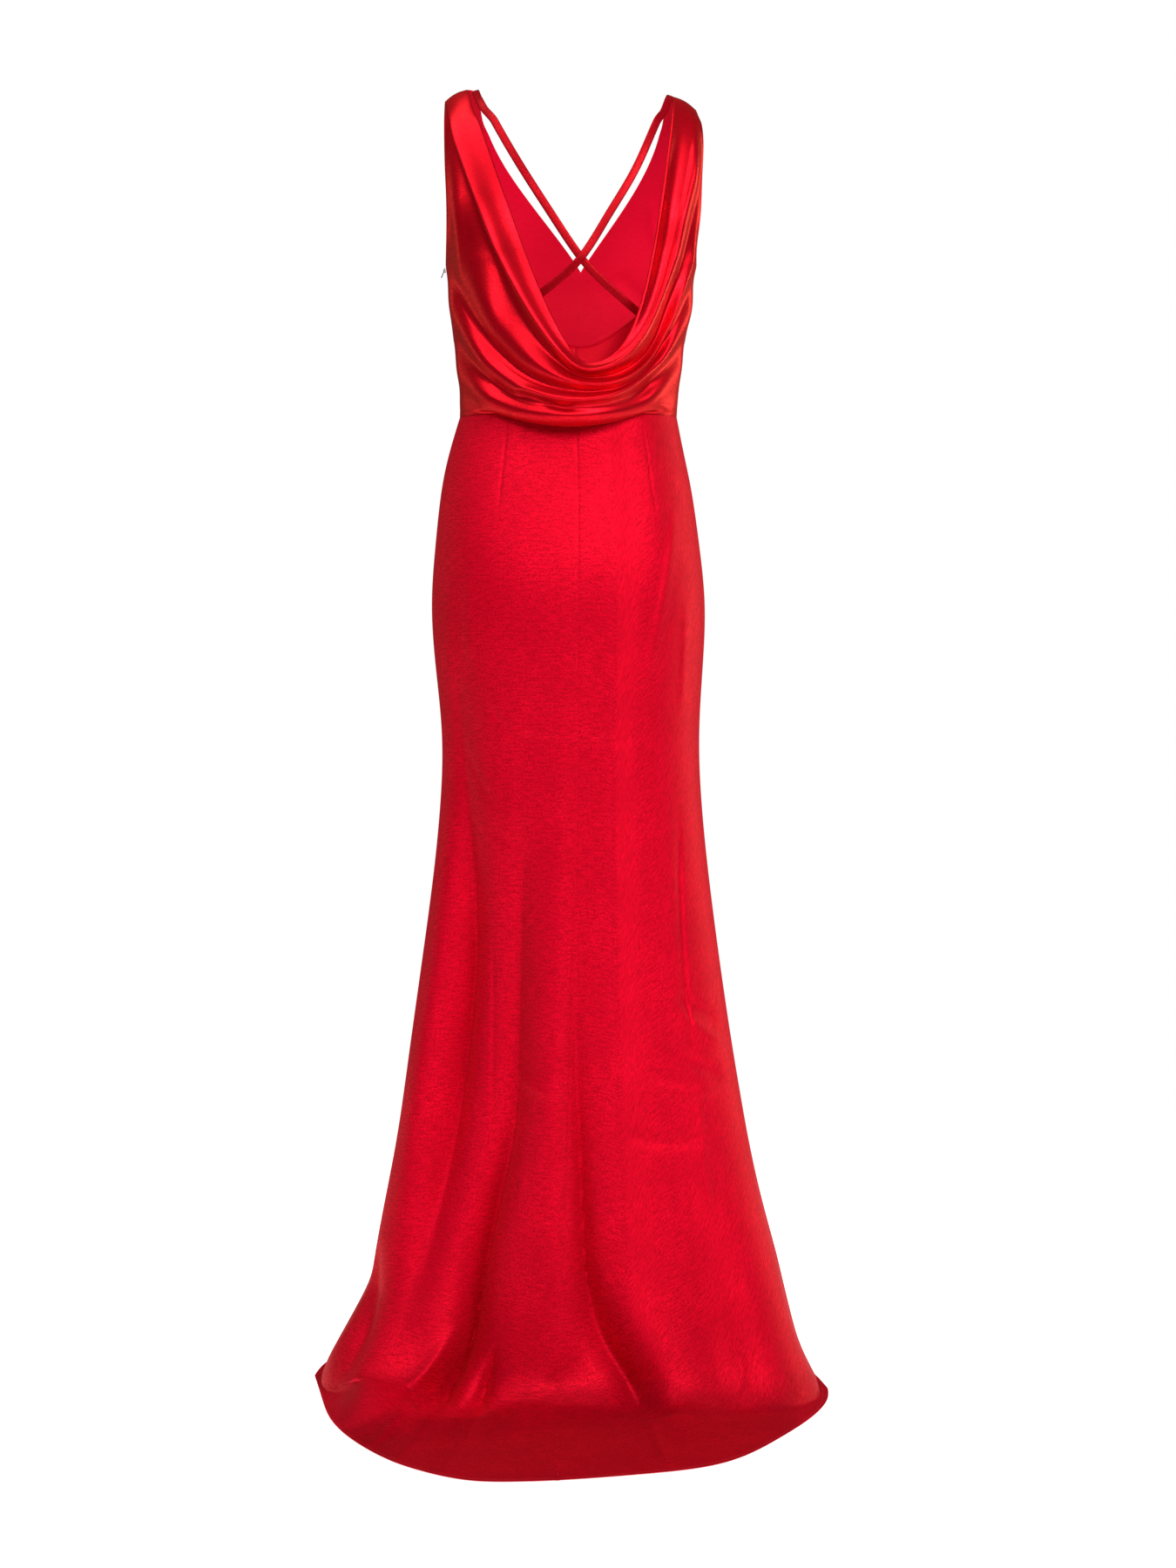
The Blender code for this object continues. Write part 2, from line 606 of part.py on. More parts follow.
def cowl_row(number, columns):
    """One row of the cowl, hung from the left edge to the right edge."""
    swag = read_table(COWL_SWAGS, SWAG_NUMBERS, number)
    low = (swag["low_x"], swag["low_height"])
    half = columns // 2
    branches = {}
    for side, column in ((-1, "left"), (1, "right")):
        x, level = cowl_edge(swag[column], side)
        end = (x, height_at(x, level) + (SEAM_GAP / 2.0 if level < 0.5 else 0.0))
        branches[side] = hanging_line(low, end, swag[column + "_bend"], half)
    row = []
    for i in range(columns + 1):
        side = -1 if i < half else 1
        steps = half - i if side < 0 else i - half
        x, height = branches[side][steps]
        part = LAST_STEP * (steps / (half - 1)) ** LOW_CROWD
        middle = 1.0 - ease((part - 0.08) / 0.62)
        lift_side = swag["lift_l"] if side < 0 else swag["lift_r"]
        lift = lift_side + (swag["lift_m"] - lift_side) * middle
        lift *= ease((1.0 - part) / LIFT_FADE)
        if steps == half:
            edge_x, edge_level = cowl_edge(swag["left" if side < 0 else "right"], side)
            place = bodice_surface(across_at(edge_x, edge_level), edge_level, -1)
            place.z += SEAM_GAP / 2.0 if edge_level < 0.5 else 0.0
        else:
            place = on_bodice(x, height, -1, lift)
            place.z = height - SHOULDER_HEIGHT
        row.append(place)
    return row


def make_cowl_back():
    """The bias-cut drape, with its top edge rolled over to the inside."""
    rows = []
    count = (len(COWL_SWAGS) - 1) * COWL_STEPS_PER_SWAG
    for i in range(count + 1):
        rows.append(cowl_row(i / COWL_STEPS_PER_SWAG, COWL_COLUMNS))
    edge, below = rows[0], rows[1]
    rolled = []
    for turn in (180.0, 120.0, 60.0):
        angle = math.radians(turn)
        rolled.append([roll_place(edge, below, c, angle, 0.0) for c in range(COWL_COLUMNS + 1)])
    facing = [roll_place(edge, below, c, math.pi, EDGE_FACING) for c in range(COWL_COLUMNS + 1)]
    wall_from_rows("cowl_back", [facing] + rolled + rows)


def roll_place(edge, below, column, angle, down):
    """A place on the rolled edge, turned by angle from the outside over to the inside."""
    last = len(edge) - 1
    run = edge[min(last, column + 1)] - edge[max(0, column - 1)]
    fall = (below[column] - edge[column]).normalized()
    inwards = run.cross(fall).normalized()
    if inwards.y < 0:
        inwards = -inwards
    over = EDGE_ROLL_RADIUS * math.sin(angle)
    into = EDGE_ROLL_RADIUS * (1.0 - math.cos(angle))
    return edge[column] - fall * (over - down) + inwards * into


# ---- under-bodice -------------------------------------------------------------------------------

def under_top(x):
    """Height of the under-bodice's top edge, lowest near the centre and up to the underarm."""
    return UNDER_LOW_HEIGHT + UNDER_RISE * min(1.0, abs(x - UNDER_LOW_X) / 0.135) ** UNDER_BEND


def make_under_back(name, side):
    """One half of the low inner back, sewn to the other half at the centre."""
    rows = []
    for r in range(UNDER_ROWS + 1):
        row = []
        for part in spread(0.0, 1.0, UNDER_COLUMNS):
            centre = across_at(UNDER_CENTRE + side * SEAM_GAP / 2.0, 0.5)
            across = centre + (side - centre) * part
            x = bodice_surface(across, 0.5, -1).x
            top = level_at(x, under_top(x))
            level = top * r / UNDER_ROWS
            outwards = Vector((side * part, -1.0, 0.0))
            flat = min(0.99, abs(across)) * side if part else across
            normal = normal_of(lambda a, b: bodice_surface(a, b, -1), flat, max(0.01, level), outwards)
            place = bodice_surface(across, level, -1) - UNDER_INSET * normal
            place.z = height_at(x, level) + SEAM_GAP / 2.0 - SHOULDER_HEIGHT
            if part == 0.0:
                place.x = UNDER_CENTRE + side * SEAM_GAP / 2.0
            row.append(place)
        rows.append(row)
    wall_from_rows(name, rows)


# ---- straps -------------------------------------------------------------------------------------

def strap_place(stops, part, lift):
    """A place on a strap's middle line and its direction outwards."""
    keys = list(range(len(stops)))
    x = through(keys, [stop.x for stop in stops], part * keys[-1])
    height = through(keys, [stop.height for stop in stops], part * keys[-1])
    place = on_bodice(x, height, -1, lift)
    return place, (on_bodice(x, height, -1, lift + 0.01) - place).normalized()


def make_strap(name, stops, over):
    """A narrow satin strap, flat on the back, its lower end lapped on the under-bodice.

    The one that passes over the other is lifted where they cross.
    """
    crossing = Vector((stops[4].x, stops[4].height))
    keys = list(range(len(stops)))
    points, faces = [], []
    for part in spread(0.0, 1.0, STRAP_STEPS, STRAP_CROWD):
        here = Vector((through(keys, [stop.x for stop in stops], part * keys[-1]),
                       through(keys, [stop.height for stop in stops], part * keys[-1])))
        hump = math.exp(-((here - crossing).length / STRAP_CROSS_REACH) ** 2)
        lift = STRAP_OFF_BODY + (STRAP_CROSS_LIFT * hump if over else 0.0)
        lift += (STRAP_END_LIFT - STRAP_OFF_BODY) * ease((part - 0.7) / 0.28)
        place, outwards = strap_place(stops, part, lift)
        before = strap_place(stops, max(0.0, part - 0.02), lift)[0]
        after = strap_place(stops, min(1.0, part + 0.02), lift)[0]
        across = (after - before).normalized().cross(outwards).normalized()
        for side, layer in ((-1, -1), (1, -1), (1, 1), (-1, 1)):
            points.append(place + across * side * STRAP_WIDTH / 2.0 + outwards * layer * WALL / 2.0)
    for i in range(STRAP_STEPS):
        for k in range(4):
            a, b = 4 * i + k, 4 * i + (k + 1) % 4
            faces.append((a, b, b + 4, a + 4))
    faces.append((3, 2, 1, 0))
    end = 4 * STRAP_STEPS
    faces.append((end, end + 1, end + 2, end + 3))
    add_object(name, closed_mesh(name, points, faces), SATIN_RED)


# ---- zip ----------------------------------------------------------------------------------------

def prism(name, outline, low, high, along):
    """A solid with the given outline, in the two directions that are not "along" ("X" or "Y")."""
    points = []
    for level in (low, high):
        for across, up in outline:
            points.append((level, across, up) if along == "X" else (across, level, up))
    count = len(outline)
    faces = [tuple(range(count)), tuple(range(count, 2 * count))]
    for i in range(count):
        j = (i + 1) % count
        faces.append((i, j, j + count, i + count))
    return closed_mesh(name, points, faces)


def join(piece, tool_mesh):
    """Adds a second solid to a piece."""
    tool = bpy.data.objects.new(piece.name + " joined part", tool_mesh)
    bpy.context.scene.collection.objects.link(tool)
    tool.matrix_world = piece.matrix_world
    tool.hide_render = True
    tool.display_type = "WIRE"
    joint = piece.modifiers.new("join", "BOOLEAN")
    joint.operation = "UNION"
    joint.solver = "EXACT"
    joint.object = tool


def seam_x(height):
    """The left side seam at a height."""
    return -bodice_ring(level_at(-1.0, height))["left"]


def zip_frame():
    """The hinge line of the pull, just outside the left side seam, and the lean of the seam there."""
    out = WALL / 2.0 + PLATE_OFF_CLOTH + PLATE_THICKNESS + PULL_CLEARANCE + PULL_BAR_RADIUS
    top, bottom = ZIP_HINGE_HEIGHT + PLATE_LENGTH / 2.0, ZIP_HINGE_HEIGHT - PLATE_LENGTH / 2.0
    lean = math.atan2(seam_x(top) - seam_x(bottom), PLATE_LENGTH)
    return point(seam_x(ZIP_HINGE_HEIGHT) - out, 0.0, ZIP_HINGE_HEIGHT), lean


def make_zip_slider():
    """A plate on the seam with a bridge that holds the pull."""
    inner = PULL_BAR_RADIUS + PULL_CLEARANCE
    half_plate, half_bridge = PLATE_LENGTH / 2.0, BRIDGE_LENGTH / 2.0
    corner = 0.6 * MM
    half_width = PLATE_WIDTH / 2.0
    plate = [(-half_width, corner - half_plate), (corner - half_width, -half_plate),
             (half_width - corner, -half_plate), (half_width, corner - half_plate),
             (half_width, half_plate - corner), (half_width - corner, half_plate),
             (corner - half_width, half_plate), (-half_width, half_plate - corner)]
    piece = add_object("zip_slider", prism("zip_slider", plate, inner, inner + PLATE_THICKNESS, "X"),
                       ZIP_METAL, 0.35, 1.0)
    piece.location, lean = zip_frame()
    piece.rotation_euler = (0.0, lean, 0.0)
    outer = inner + BRIDGE_THICKNESS
    post = BRIDGE_THICKNESS
    sunk = inner + PLATE_THICKNESS / 2.0
    bridge = [(sunk, -half_bridge), (sunk, post - half_bridge), (-inner, post - half_bridge),
              (-inner, half_bridge - post), (sunk, half_bridge - post), (sunk, half_bridge),
              (post / 2.0 - outer, half_bridge), (-outer, half_bridge - post / 2.0),
              (-outer, post / 2.0 - half_bridge), (post / 2.0 - outer, -half_bridge)]
    bpy.context.view_layer.update()
    join(piece, prism("bridge", bridge, -BRIDGE_WIDTH / 2.0, BRIDGE_WIDTH / 2.0, "Y"))


def make_zip_pull():
    """A flat drop with a slot round the bridge; its top bar is held under the bridge."""
    half_width, half_waist = PULL_WIDTH / 2.0, PULL_WAIST / 2.0
    drop = [(-half_width, 0.0), (-half_width, -0.30 * PULL_LENGTH), (-half_waist, -0.48 * PULL_LENGTH),
            (-half_width, -0.78 * PULL_LENGTH), (-0.75 * half_width, -0.93 * PULL_LENGTH),
            (0.0, -PULL_LENGTH), (0.75 * half_width, -0.93 * PULL_LENGTH),
            (half_width, -0.78 * PULL_LENGTH), (half_waist, -0.48 * PULL_LENGTH),
            (half_width, -0.30 * PULL_LENGTH), (half_width, 0.0),
            (PULL_SLOT_WIDTH / 2.0, 0.0), (PULL_SLOT_WIDTH / 2.0, -PULL_SLOT_LENGTH),
            (-PULL_SLOT_WIDTH / 2.0, -PULL_SLOT_LENGTH), (-PULL_SLOT_WIDTH / 2.0, 0.0)]
    half_thick = PULL_THICKNESS / 2.0
    piece = add_object("zip_pull", prism("zip_pull", drop, -half_thick, half_thick, "X"),
                       ZIP_METAL, 0.35, 1.0)
    piece.location = zip_frame()[0]
    piece.rotation_euler = (0.0, PULL_TILT, 0.0)
    bar = []
    for i in range(12):
        angle = math.tau * (i + 0.5) / 12
        bar.append((PULL_BAR_RADIUS * math.cos(angle), PULL_BAR_RADIUS * math.sin(angle)))
    reach = half_width - 0.15 * MM
    bpy.context.view_layer.update()
    join(piece, prism("bar", bar, -reach, reach, "Y"))


for old in list(bpy.data.objects):
    bpy.data.objects.remove(old, do_unlink=True)

make_front_bodice()
make_cowl_back()
make_under_back("under_back_left", -1)
make_under_back("under_back_right", 1)
make_strap("strap_left", LEFT_STRAP, False)
make_strap("strap_right", RIGHT_STRAP, True)
make_skirt_front()
make_skirt_back("skirt_back_left", -1)
make_skirt_back("skirt_back_right", 1)
make_zip_slider()
make_zip_pull()
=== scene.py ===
import math
from collections import namedtuple

import bpy
import numpy as np
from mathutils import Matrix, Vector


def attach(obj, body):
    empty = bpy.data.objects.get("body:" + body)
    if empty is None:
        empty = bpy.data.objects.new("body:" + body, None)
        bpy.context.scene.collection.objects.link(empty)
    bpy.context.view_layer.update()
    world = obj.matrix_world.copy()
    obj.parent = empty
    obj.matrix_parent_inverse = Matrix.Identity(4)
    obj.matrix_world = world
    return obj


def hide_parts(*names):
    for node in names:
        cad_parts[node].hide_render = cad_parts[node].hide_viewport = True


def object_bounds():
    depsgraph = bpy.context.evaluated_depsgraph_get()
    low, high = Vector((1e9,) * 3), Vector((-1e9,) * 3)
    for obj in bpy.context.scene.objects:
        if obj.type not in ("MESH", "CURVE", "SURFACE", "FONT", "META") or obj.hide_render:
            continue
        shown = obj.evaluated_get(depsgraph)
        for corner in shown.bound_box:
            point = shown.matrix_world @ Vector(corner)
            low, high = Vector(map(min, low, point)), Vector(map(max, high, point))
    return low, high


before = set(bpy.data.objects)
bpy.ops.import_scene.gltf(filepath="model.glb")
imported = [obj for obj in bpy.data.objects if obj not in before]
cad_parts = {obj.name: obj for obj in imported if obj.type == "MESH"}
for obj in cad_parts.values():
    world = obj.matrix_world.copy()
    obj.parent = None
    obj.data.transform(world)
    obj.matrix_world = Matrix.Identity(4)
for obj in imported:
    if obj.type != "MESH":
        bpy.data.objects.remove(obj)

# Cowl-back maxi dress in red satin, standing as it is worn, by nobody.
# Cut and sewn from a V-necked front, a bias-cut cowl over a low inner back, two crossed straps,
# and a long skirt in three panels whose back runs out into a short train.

cad_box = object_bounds()
bpy.ops.object.select_all(action="DESELECT")

MM = 0.001

# ---- studio -------------------------------------------------------------------------------------
# A pale floor that gives off a little light of its own, under a pale, even surround.  Six soft lamps:
# the key high at the right, one high at the left, a wide one above the camera, one overhead, and two
# narrow strips on the far side.  The camera stands behind the dress, at the height of its hips.

FLOOR = cad_box[0].z
FLOOR_GLOW = 0.60
SURROUND = 0.09
CAMERA_PLACE = (0.0180, -3.7792, -0.5727)
CAMERA_TILT = math.radians(1.5)
CAMERA_LENS = 75.69
CAMERA_SHIFT = (0.00114, -0.0651)
FLOOR_RADIUS = 2.2
SoftBox = namedtuple("SoftBox", "name place target width height watts")
SOFT_BOXES = (
    SoftBox("soft_box_key", (1.9, -2.7, 1.15), (0.0, 0.0, -0.3), 1.5, 2.0, 92.0),
    SoftBox("soft_box_high_left", (-1.6, -2.0, 1.9), (0.0, 0.0, -0.4), 1.4, 1.4, 26.0),
    SoftBox("soft_box_front", (-0.1, -3.8, 1.2), (0.0, 0.0, -0.4), 2.2, 1.2, 54.0),
    SoftBox("soft_box_above", (-0.4, -0.5, 1.5), (-0.1, -0.2, -0.5), 1.5, 1.2, 20.0),
    SoftBox("strip_box_left", (-2.3, 1.0, -0.3), (0.0, 0.0, -0.7), 0.5, 2.0, 5.0),
    SoftBox("strip_box_right", (2.3, 1.2, -0.3), (0.0, 0.0, -0.7), 0.5, 2.0, 22.0),
)


def linear(code):
    """An sRGB hex colour as linear red, green, blue and alpha."""
    parts = [int(code[i:i + 2], 16) / 255.0 for i in (0, 2, 4)]
    return tuple(p / 12.92 if p <= 0.04045 else ((p + 0.055) / 1.055) ** 2.4 for p in parts) + (1.0,)


def add_node(tree, kind, settings=None, links=None):
    """A node with its properties and socket values set, and its sockets fed by other nodes."""
    node = tree.nodes.new(kind)
    for name, value in (settings or {}).items():
        if isinstance(name, str) and name in node.bl_rna.properties.keys():
            setattr(node, name, value)
        else:
            node.inputs[name].default_value = value
    for name, source in (links or {}).items():
        tree.links.new(source, node.inputs[name])
    return node


# Matt painted studio floor: pale, without gloss, so that it hardly shows.
floor_paint = bpy.data.materials.new("matt_floor_paint")
floor_paint.use_nodes = True
floor_tree = floor_paint.node_tree
floor_shader = floor_tree.nodes["Principled BSDF"]
floor_place = add_node(floor_tree, "ShaderNodeTexCoord")
floor_grain = add_node(floor_tree, "ShaderNodeTexNoise", {"Scale": 40.0, "Detail": 3.0},
                       {"Vector": floor_place.outputs["Object"]})
floor_tone = add_node(floor_tree, "ShaderNodeMix",
                      {"data_type": "RGBA", 6: linear("F7F7F6"), 7: linear("FBFBFA")},
                      {"Factor": floor_grain.outputs["Fac"]})
floor_tree.links.new(floor_tone.outputs[2], floor_shader.inputs["Base Color"])
floor_shader.inputs["Roughness"].default_value = 0.9
floor_shader.inputs["Specular IOR Level"].default_value = 0.0
floor_shader.inputs["Emission Color"].default_value = (1.0, 1.0, 1.0, 1.0)
floor_shader.inputs["Emission Strength"].default_value = FLOOR_GLOW
bpy.ops.mesh.primitive_circle_add(vertices=96, radius=FLOOR_RADIUS, fill_type="NGON",
                                  location=(0.0, 0.0, FLOOR))
floor = bpy.context.object
floor.name = "studio_floor"
floor.data.materials.append(floor_paint)

scene = bpy.context.scene
scene.view_settings.view_transform = "Standard"
scene.world = bpy.data.worlds.new("pale_surround")
scene.world.use_nodes = True
world_tree = scene.world.node_tree
surround = world_tree.nodes["Background"]
surround.inputs["Color"].default_value = (1.0, 1.0, 1.0, 1.0)
surround.inputs["Strength"].default_value = SURROUND
seen_directly = add_node(world_tree, "ShaderNodeBackground",
                         {"Color": (1.0, 1.0, 1.0, 1.0), "Strength": 1.0})
sight = add_node(world_tree, "ShaderNodeLightPath")
either = add_node(world_tree, "ShaderNodeMixShader", None,
                  {0: sight.outputs["Is Camera Ray"], 1: surround.outputs[0], 2: seen_directly.outputs[0]})
world_tree.links.new(either.outputs[0], world_tree.nodes["World Output"].inputs["Surface"])


def aimed(piece, target):
    """Turns a lamp towards a place."""
    direction = np.array(target) - np.array(piece.location)
    flat = math.hypot(direction[0], direction[1])
    piece.rotation_euler = (math.atan2(flat, -direction[2]), 0.0, math.atan2(-direction[0], direction[1]))


for box in SOFT_BOXES:
    bpy.ops.object.light_add(type="AREA", location=box.place)
    lamp = bpy.context.object
    lamp.name = box.name
    lamp.data.shape = "RECTANGLE"
    lamp.data.size = box.width
    lamp.data.size_y = box.height
    lamp.data.energy = box.watts
    aimed(lamp, box.target)

bpy.ops.object.camera_add(location=CAMERA_PLACE, rotation=(math.pi / 2.0 - CAMERA_TILT, 0.0, 0.0))
scene.camera = bpy.context.object
scene.camera.data.lens = CAMERA_LENS
scene.camera.data.shift_x, scene.camera.data.shift_y = CAMERA_SHIFT

# ---- front bodice -------------------------------------------------------------------------------
# One piece of satin from side seam to side seam under a V neck, with a bust dart at each side.
# Its satin face is outwards; the dull crimson wrong side shows inside the open back.

SHOULDER_HEIGHT = 1.477
SHOULDER_CROWN = 1.4808
UNDERARM_HEIGHT = 1.280
WAIST_HEIGHT = 1.108
SHOULDER_SLOPE = 0.30
SHOULDER_TILT = 0.034
NECK_POINT = 0.106
BELOW_SHOULDER_SEAM = 1.985
BACK_YOKE_CURVE = 2.5
FRONT_YOKE_CURVE = 1.6
YOKE_SPREAD = 0.021
YOKE_SPREAD_RISE = 0.35
SEAM_GAP = 0.3 * MM
SHOULDER_GAP = 0.5 * MM
CLOTH = 0.6 * MM
SEAM_ALLOWANCE = 3.0 * MM
SMOOTH_ANGLE = math.radians(60.0)
SHOULDER_ROUNDING = 6.5 * MM
ROUNDED_TIP_FROM = 0.124
ROUNDED_TIP_REACH = 0.019
ROUNDED_TIP_LIMIT = 1.2
NECK_ROUNDING = 8.0 * MM
ROUNDED_NECK_TO = 0.120
ROUNDED_NECK_REACH = 0.015
ROUNDED_BELOW = 0.042
ROUNDED_DEPTH = 0.030

BodiceRing = namedtuple("BodiceRing", "level left right back front square")
BODICE_RINGS = (
    BodiceRing(0.00, 0.1265, 0.1215, 0.088, 0.092, 2.3),
    BodiceRing(0.25, 0.1270, 0.1245, 0.088, 0.100, 2.3),
    BodiceRing(0.50, 0.1330, 0.1305, 0.090, 0.110, 2.3),
    BodiceRing(0.75, 0.1375, 0.1380, 0.094, 0.117, 2.3),
    BodiceRing(0.90, 0.1395, 0.1405, 0.097, 0.119, 2.3),
    BodiceRing(1.00, 0.1425, 0.1440, 0.098, 0.118, 2.3),
)
ArmholeStep = namedtuple("ArmholeStep", "along level left right")
FRONT_ARMHOLE = (
    ArmholeStep(0.00, 1.00, 0.1425, 0.1440),
    ArmholeStep(0.15, 1.15, 0.1300, 0.1300),
    ArmholeStep(0.40, 1.40, 0.1230, 0.1240),
    ArmholeStep(0.70, 1.70, 0.1270, 0.1290),
    ArmholeStep(1.00, 2.00, 0.1430, 0.1430),
)
NECK_BASE_LEVEL = 1.022
# The lowest place of the neck lies right of the middle; most of that shift is gone at the shoulders.
NECK_SHIFT = 0.0115
NECK_SHIFT_LOST = 0.85
NECK_SWEEP = 1.06


def ease(amount):
    """0 to 1 with a soft start and a soft stop."""
    amount = np.clip(amount, 0.0, 1.0)
    return amount * amount * (3.0 - 2.0 * amount)


def through(keys, values, at):
    """An even, springy curve through values at keys, read at each of the places in at."""
    keys, values = np.asarray(keys, float), np.asarray(values, float)
    last = len(keys) - 1
    spans, rises = np.diff(keys), np.diff(values)
    balance = np.eye(last + 1)
    pull = np.zeros(last + 1)
    for k in range(1, last):
        balance[k, k - 1:k + 2] = spans[k - 1], 2.0 * (spans[k - 1] + spans[k]), spans[k]
        pull[k] = 6.0 * (rises[k] / spans[k] - rises[k - 1] / spans[k - 1])
    bends = np.linalg.solve(balance, pull)
    at = np.clip(at, keys[0], keys[-1])
    i = np.clip(np.searchsorted(keys, at, side="right") - 1, 0, last - 1)
    span, after = spans[i], at - keys[i]
    before = span - after
    return ((bends[i] * before ** 3 + bends[i + 1] * after ** 3) / (6.0 * span)
            + (values[i] / span - bends[i] * span / 6.0) * before
            + (values[i + 1] / span - bends[i + 1] * span / 6.0) * after)


def read_table(table, keys, at):
    """Every numeric column of a table of named rows, read at each of the places in at."""
    columns = [name for name in table[0]._fields if name != "name"]
    return {name: through(keys, [getattr(step, name) for step in table], at) for name in columns}


def shoulder_height(x):
    """The shoulder seam falls away from the neck, a little lower on the right."""
    return SHOULDER_CROWN - SHOULDER_SLOPE * (np.abs(x) - NECK_POINT) - SHOULDER_TILT * x


def height_at(x, level):
    """Level 0 is the waist, 1 the underarm and 2 the shoulder seam."""
    below = WAIST_HEIGHT + level * (UNDERARM_HEIGHT - WAIST_HEIGHT)
    above = UNDERARM_HEIGHT + (level - 1.0) * (shoulder_height(x) - UNDERARM_HEIGHT)
    return np.where(level <= 1.0, below, above)


def level_at(x, height):
    """The level of a height, the other way round."""
    below = (height - WAIST_HEIGHT) / (UNDERARM_HEIGHT - WAIST_HEIGHT)
    above = 1.0 + (height - UNDERARM_HEIGHT) / (shoulder_height(x) - UNDERARM_HEIGHT)
    return np.clip(np.where(height <= UNDERARM_HEIGHT, below, above), 0.0, 2.0)


def bodice_ring(level):
    """Half widths, depths and squareness of the figure at each level."""
    ring = read_table(BODICE_RINGS, [step.level for step in BODICE_RINGS], np.minimum(1.0, level))
    rise = np.maximum(0.0, level - 1.0)
    spread = YOKE_SPREAD * ease(rise / YOKE_SPREAD_RISE)
    ring["left"] = ring["left"] + spread
    ring["right"] = ring["right"] + spread
    ring["back"] = ring["back"] * np.sqrt(np.maximum(0.0, 1.0 - rise ** BACK_YOKE_CURVE))
    ring["front"] = ring["front"] * np.sqrt(np.maximum(0.0, 1.0 - rise ** FRONT_YOKE_CURVE))
    return ring


def across_at(x, level):
    """Where x lies between the centre, 0, and the sides, -1 and 1."""
    ring = bodice_ring(level)
    half = np.where(x > 0, ring["right"], ring["left"])
    return 2.0 / math.pi * np.arcsin(np.clip(x / half, -1.0, 1.0))


def bodice_surface(across, level, face):
    """Places on the figure; face is 1 on the front and -1 on the back."""
    ring = bodice_ring(level)
    swing = np.sin(math.pi / 2.0 * across)
    x = swing * np.where(across > 0, ring["right"], ring["left"])
    depth = ring["front"] if face > 0 else ring["back"]
    reach = np.maximum(0.0, 1.0 - np.abs(swing) ** ring["square"]) ** (1.0 / ring["square"])
    gap = np.where(level > 1.0, SHOULDER_GAP, SEAM_GAP)
    y = face * (depth * reach + gap / 2.0)
    return np.stack(np.broadcast_arrays(x, y, height_at(x, level) - SHOULDER_HEIGHT), axis=-1)


def unit(vectors):
    """Vectors brought to a length of one."""
    return vectors / np.maximum(np.linalg.norm(vectors, axis=-1, keepdims=True), 1e-12)


def on_bodice(x, height, face, lift):
    """Places lifted off the figure by the given distances."""
    step = 0.004
    level = np.minimum(BELOW_SHOULDER_SEAM, level_at(x, height))
    across = across_at(x, level)
    side = bodice_surface(np.minimum(1.0, across + step), level, face)
    side = side - bodice_surface(np.maximum(-1.0, across - step), level, face)
    fall = bodice_surface(across, level + step, face) - bodice_surface(across, level - step, face)
    normal = unit(np.cross(side, fall))
    # a rough direction outwards, which only tells the two sides of the surface apart
    outwards = np.stack(np.broadcast_arrays(x * 2.0, face * 1.0, 0.3 + 0.0 * x), axis=-1)
    normal = normal * np.where(np.sum(normal * outwards, axis=-1, keepdims=True) > 0, 1.0, -1.0)
    return bodice_surface(across, level_at(x, height), face) + np.asarray(lift)[..., None] * normal


def facing_out(places, outside):
    """The direction outwards at each place of a sheet, given roughly by its middle."""
    down = np.gradient(places, axis=0)
    side = np.gradient(places, axis=1)
    normal = unit(np.cross(side, down))
    middle = normal[normal.shape[0] // 2, normal.shape[1] // 2]
    return normal if np.dot(middle, outside) > 0 else -normal


# The stops of a crease are x and height above the floor.  "width" is its softness to the left of its
# run and "other_width" to the right, seen from behind; "depth" is negative in a hollow.
Crease = namedtuple("Crease", "depth width other_width stops")
# The steps from one stop to the next, and the share of its run over which a crease fades at each end.
CREASE_STEPS = 8
CREASE_FADE = 0.25


def crease_lift(x, height, creases):
    """How far a set of creases lifts or sinks the cloth; each runs smoothly through its stops."""
    total = np.zeros(np.broadcast(x, height).shape)
    for crease in creases:
        keys = np.arange(len(crease.stops))
        steps = np.linspace(0.0, keys[-1], CREASE_STEPS * keys[-1] + 1)
        line_x = through(keys, [stop[0] for stop in crease.stops], steps)
        line_height = through(keys, [stop[1] for stop in crease.stops], steps)
        nearest = np.full(total.shape, 1e9)
        where = np.zeros(total.shape)
        hand = np.ones(total.shape)
        for i in range(len(steps) - 1):
            run, rise = line_x[i + 1] - line_x[i], line_height[i + 1] - line_height[i]
            part = (x - line_x[i]) * run + (height - line_height[i]) * rise
            part = np.clip(part / (run ** 2 + rise ** 2), 0.0, 1.0)
            aside, above = x - line_x[i] - part * run, height - line_height[i] - part * rise
            away = np.hypot(aside, above)
            closer = away < nearest
            nearest = np.where(closer, away, nearest)
            where = np.where(closer, (i + part) / (len(steps) - 1), where)
            hand = np.where(closer, run * above - rise * aside, hand)
        width = np.where(hand > 0, crease.width, crease.other_width)
        fade = ease(where / CREASE_FADE) * ease((1.0 - where) / CREASE_FADE)
        total += crease.depth * fade * np.exp(-(nearest / width) ** 2)
    return total


# The rows of an allowance that is turned to the inside, as shares of its depth.
TURNED_IN_ROWS = (0.12, 1.0)


def turned_in(places, normals, edge, depth):
    """Adds the allowance that is turned to the inside along one edge of the rows."""
    axis = 0 if edge in ("top", "bottom") else 1
    index = 0 if edge in ("top", "first") else -1
    line = np.take(places, [index], axis=axis)
    inwards = np.take(normals, [index], axis=axis)
    turns = [line - inwards * share * depth for share in TURNED_IN_ROWS]
    if index == 0:
        return np.concatenate([turns[1], turns[0], places], axis=axis)
    return np.concatenate([places, turns[0], turns[1]], axis=axis)


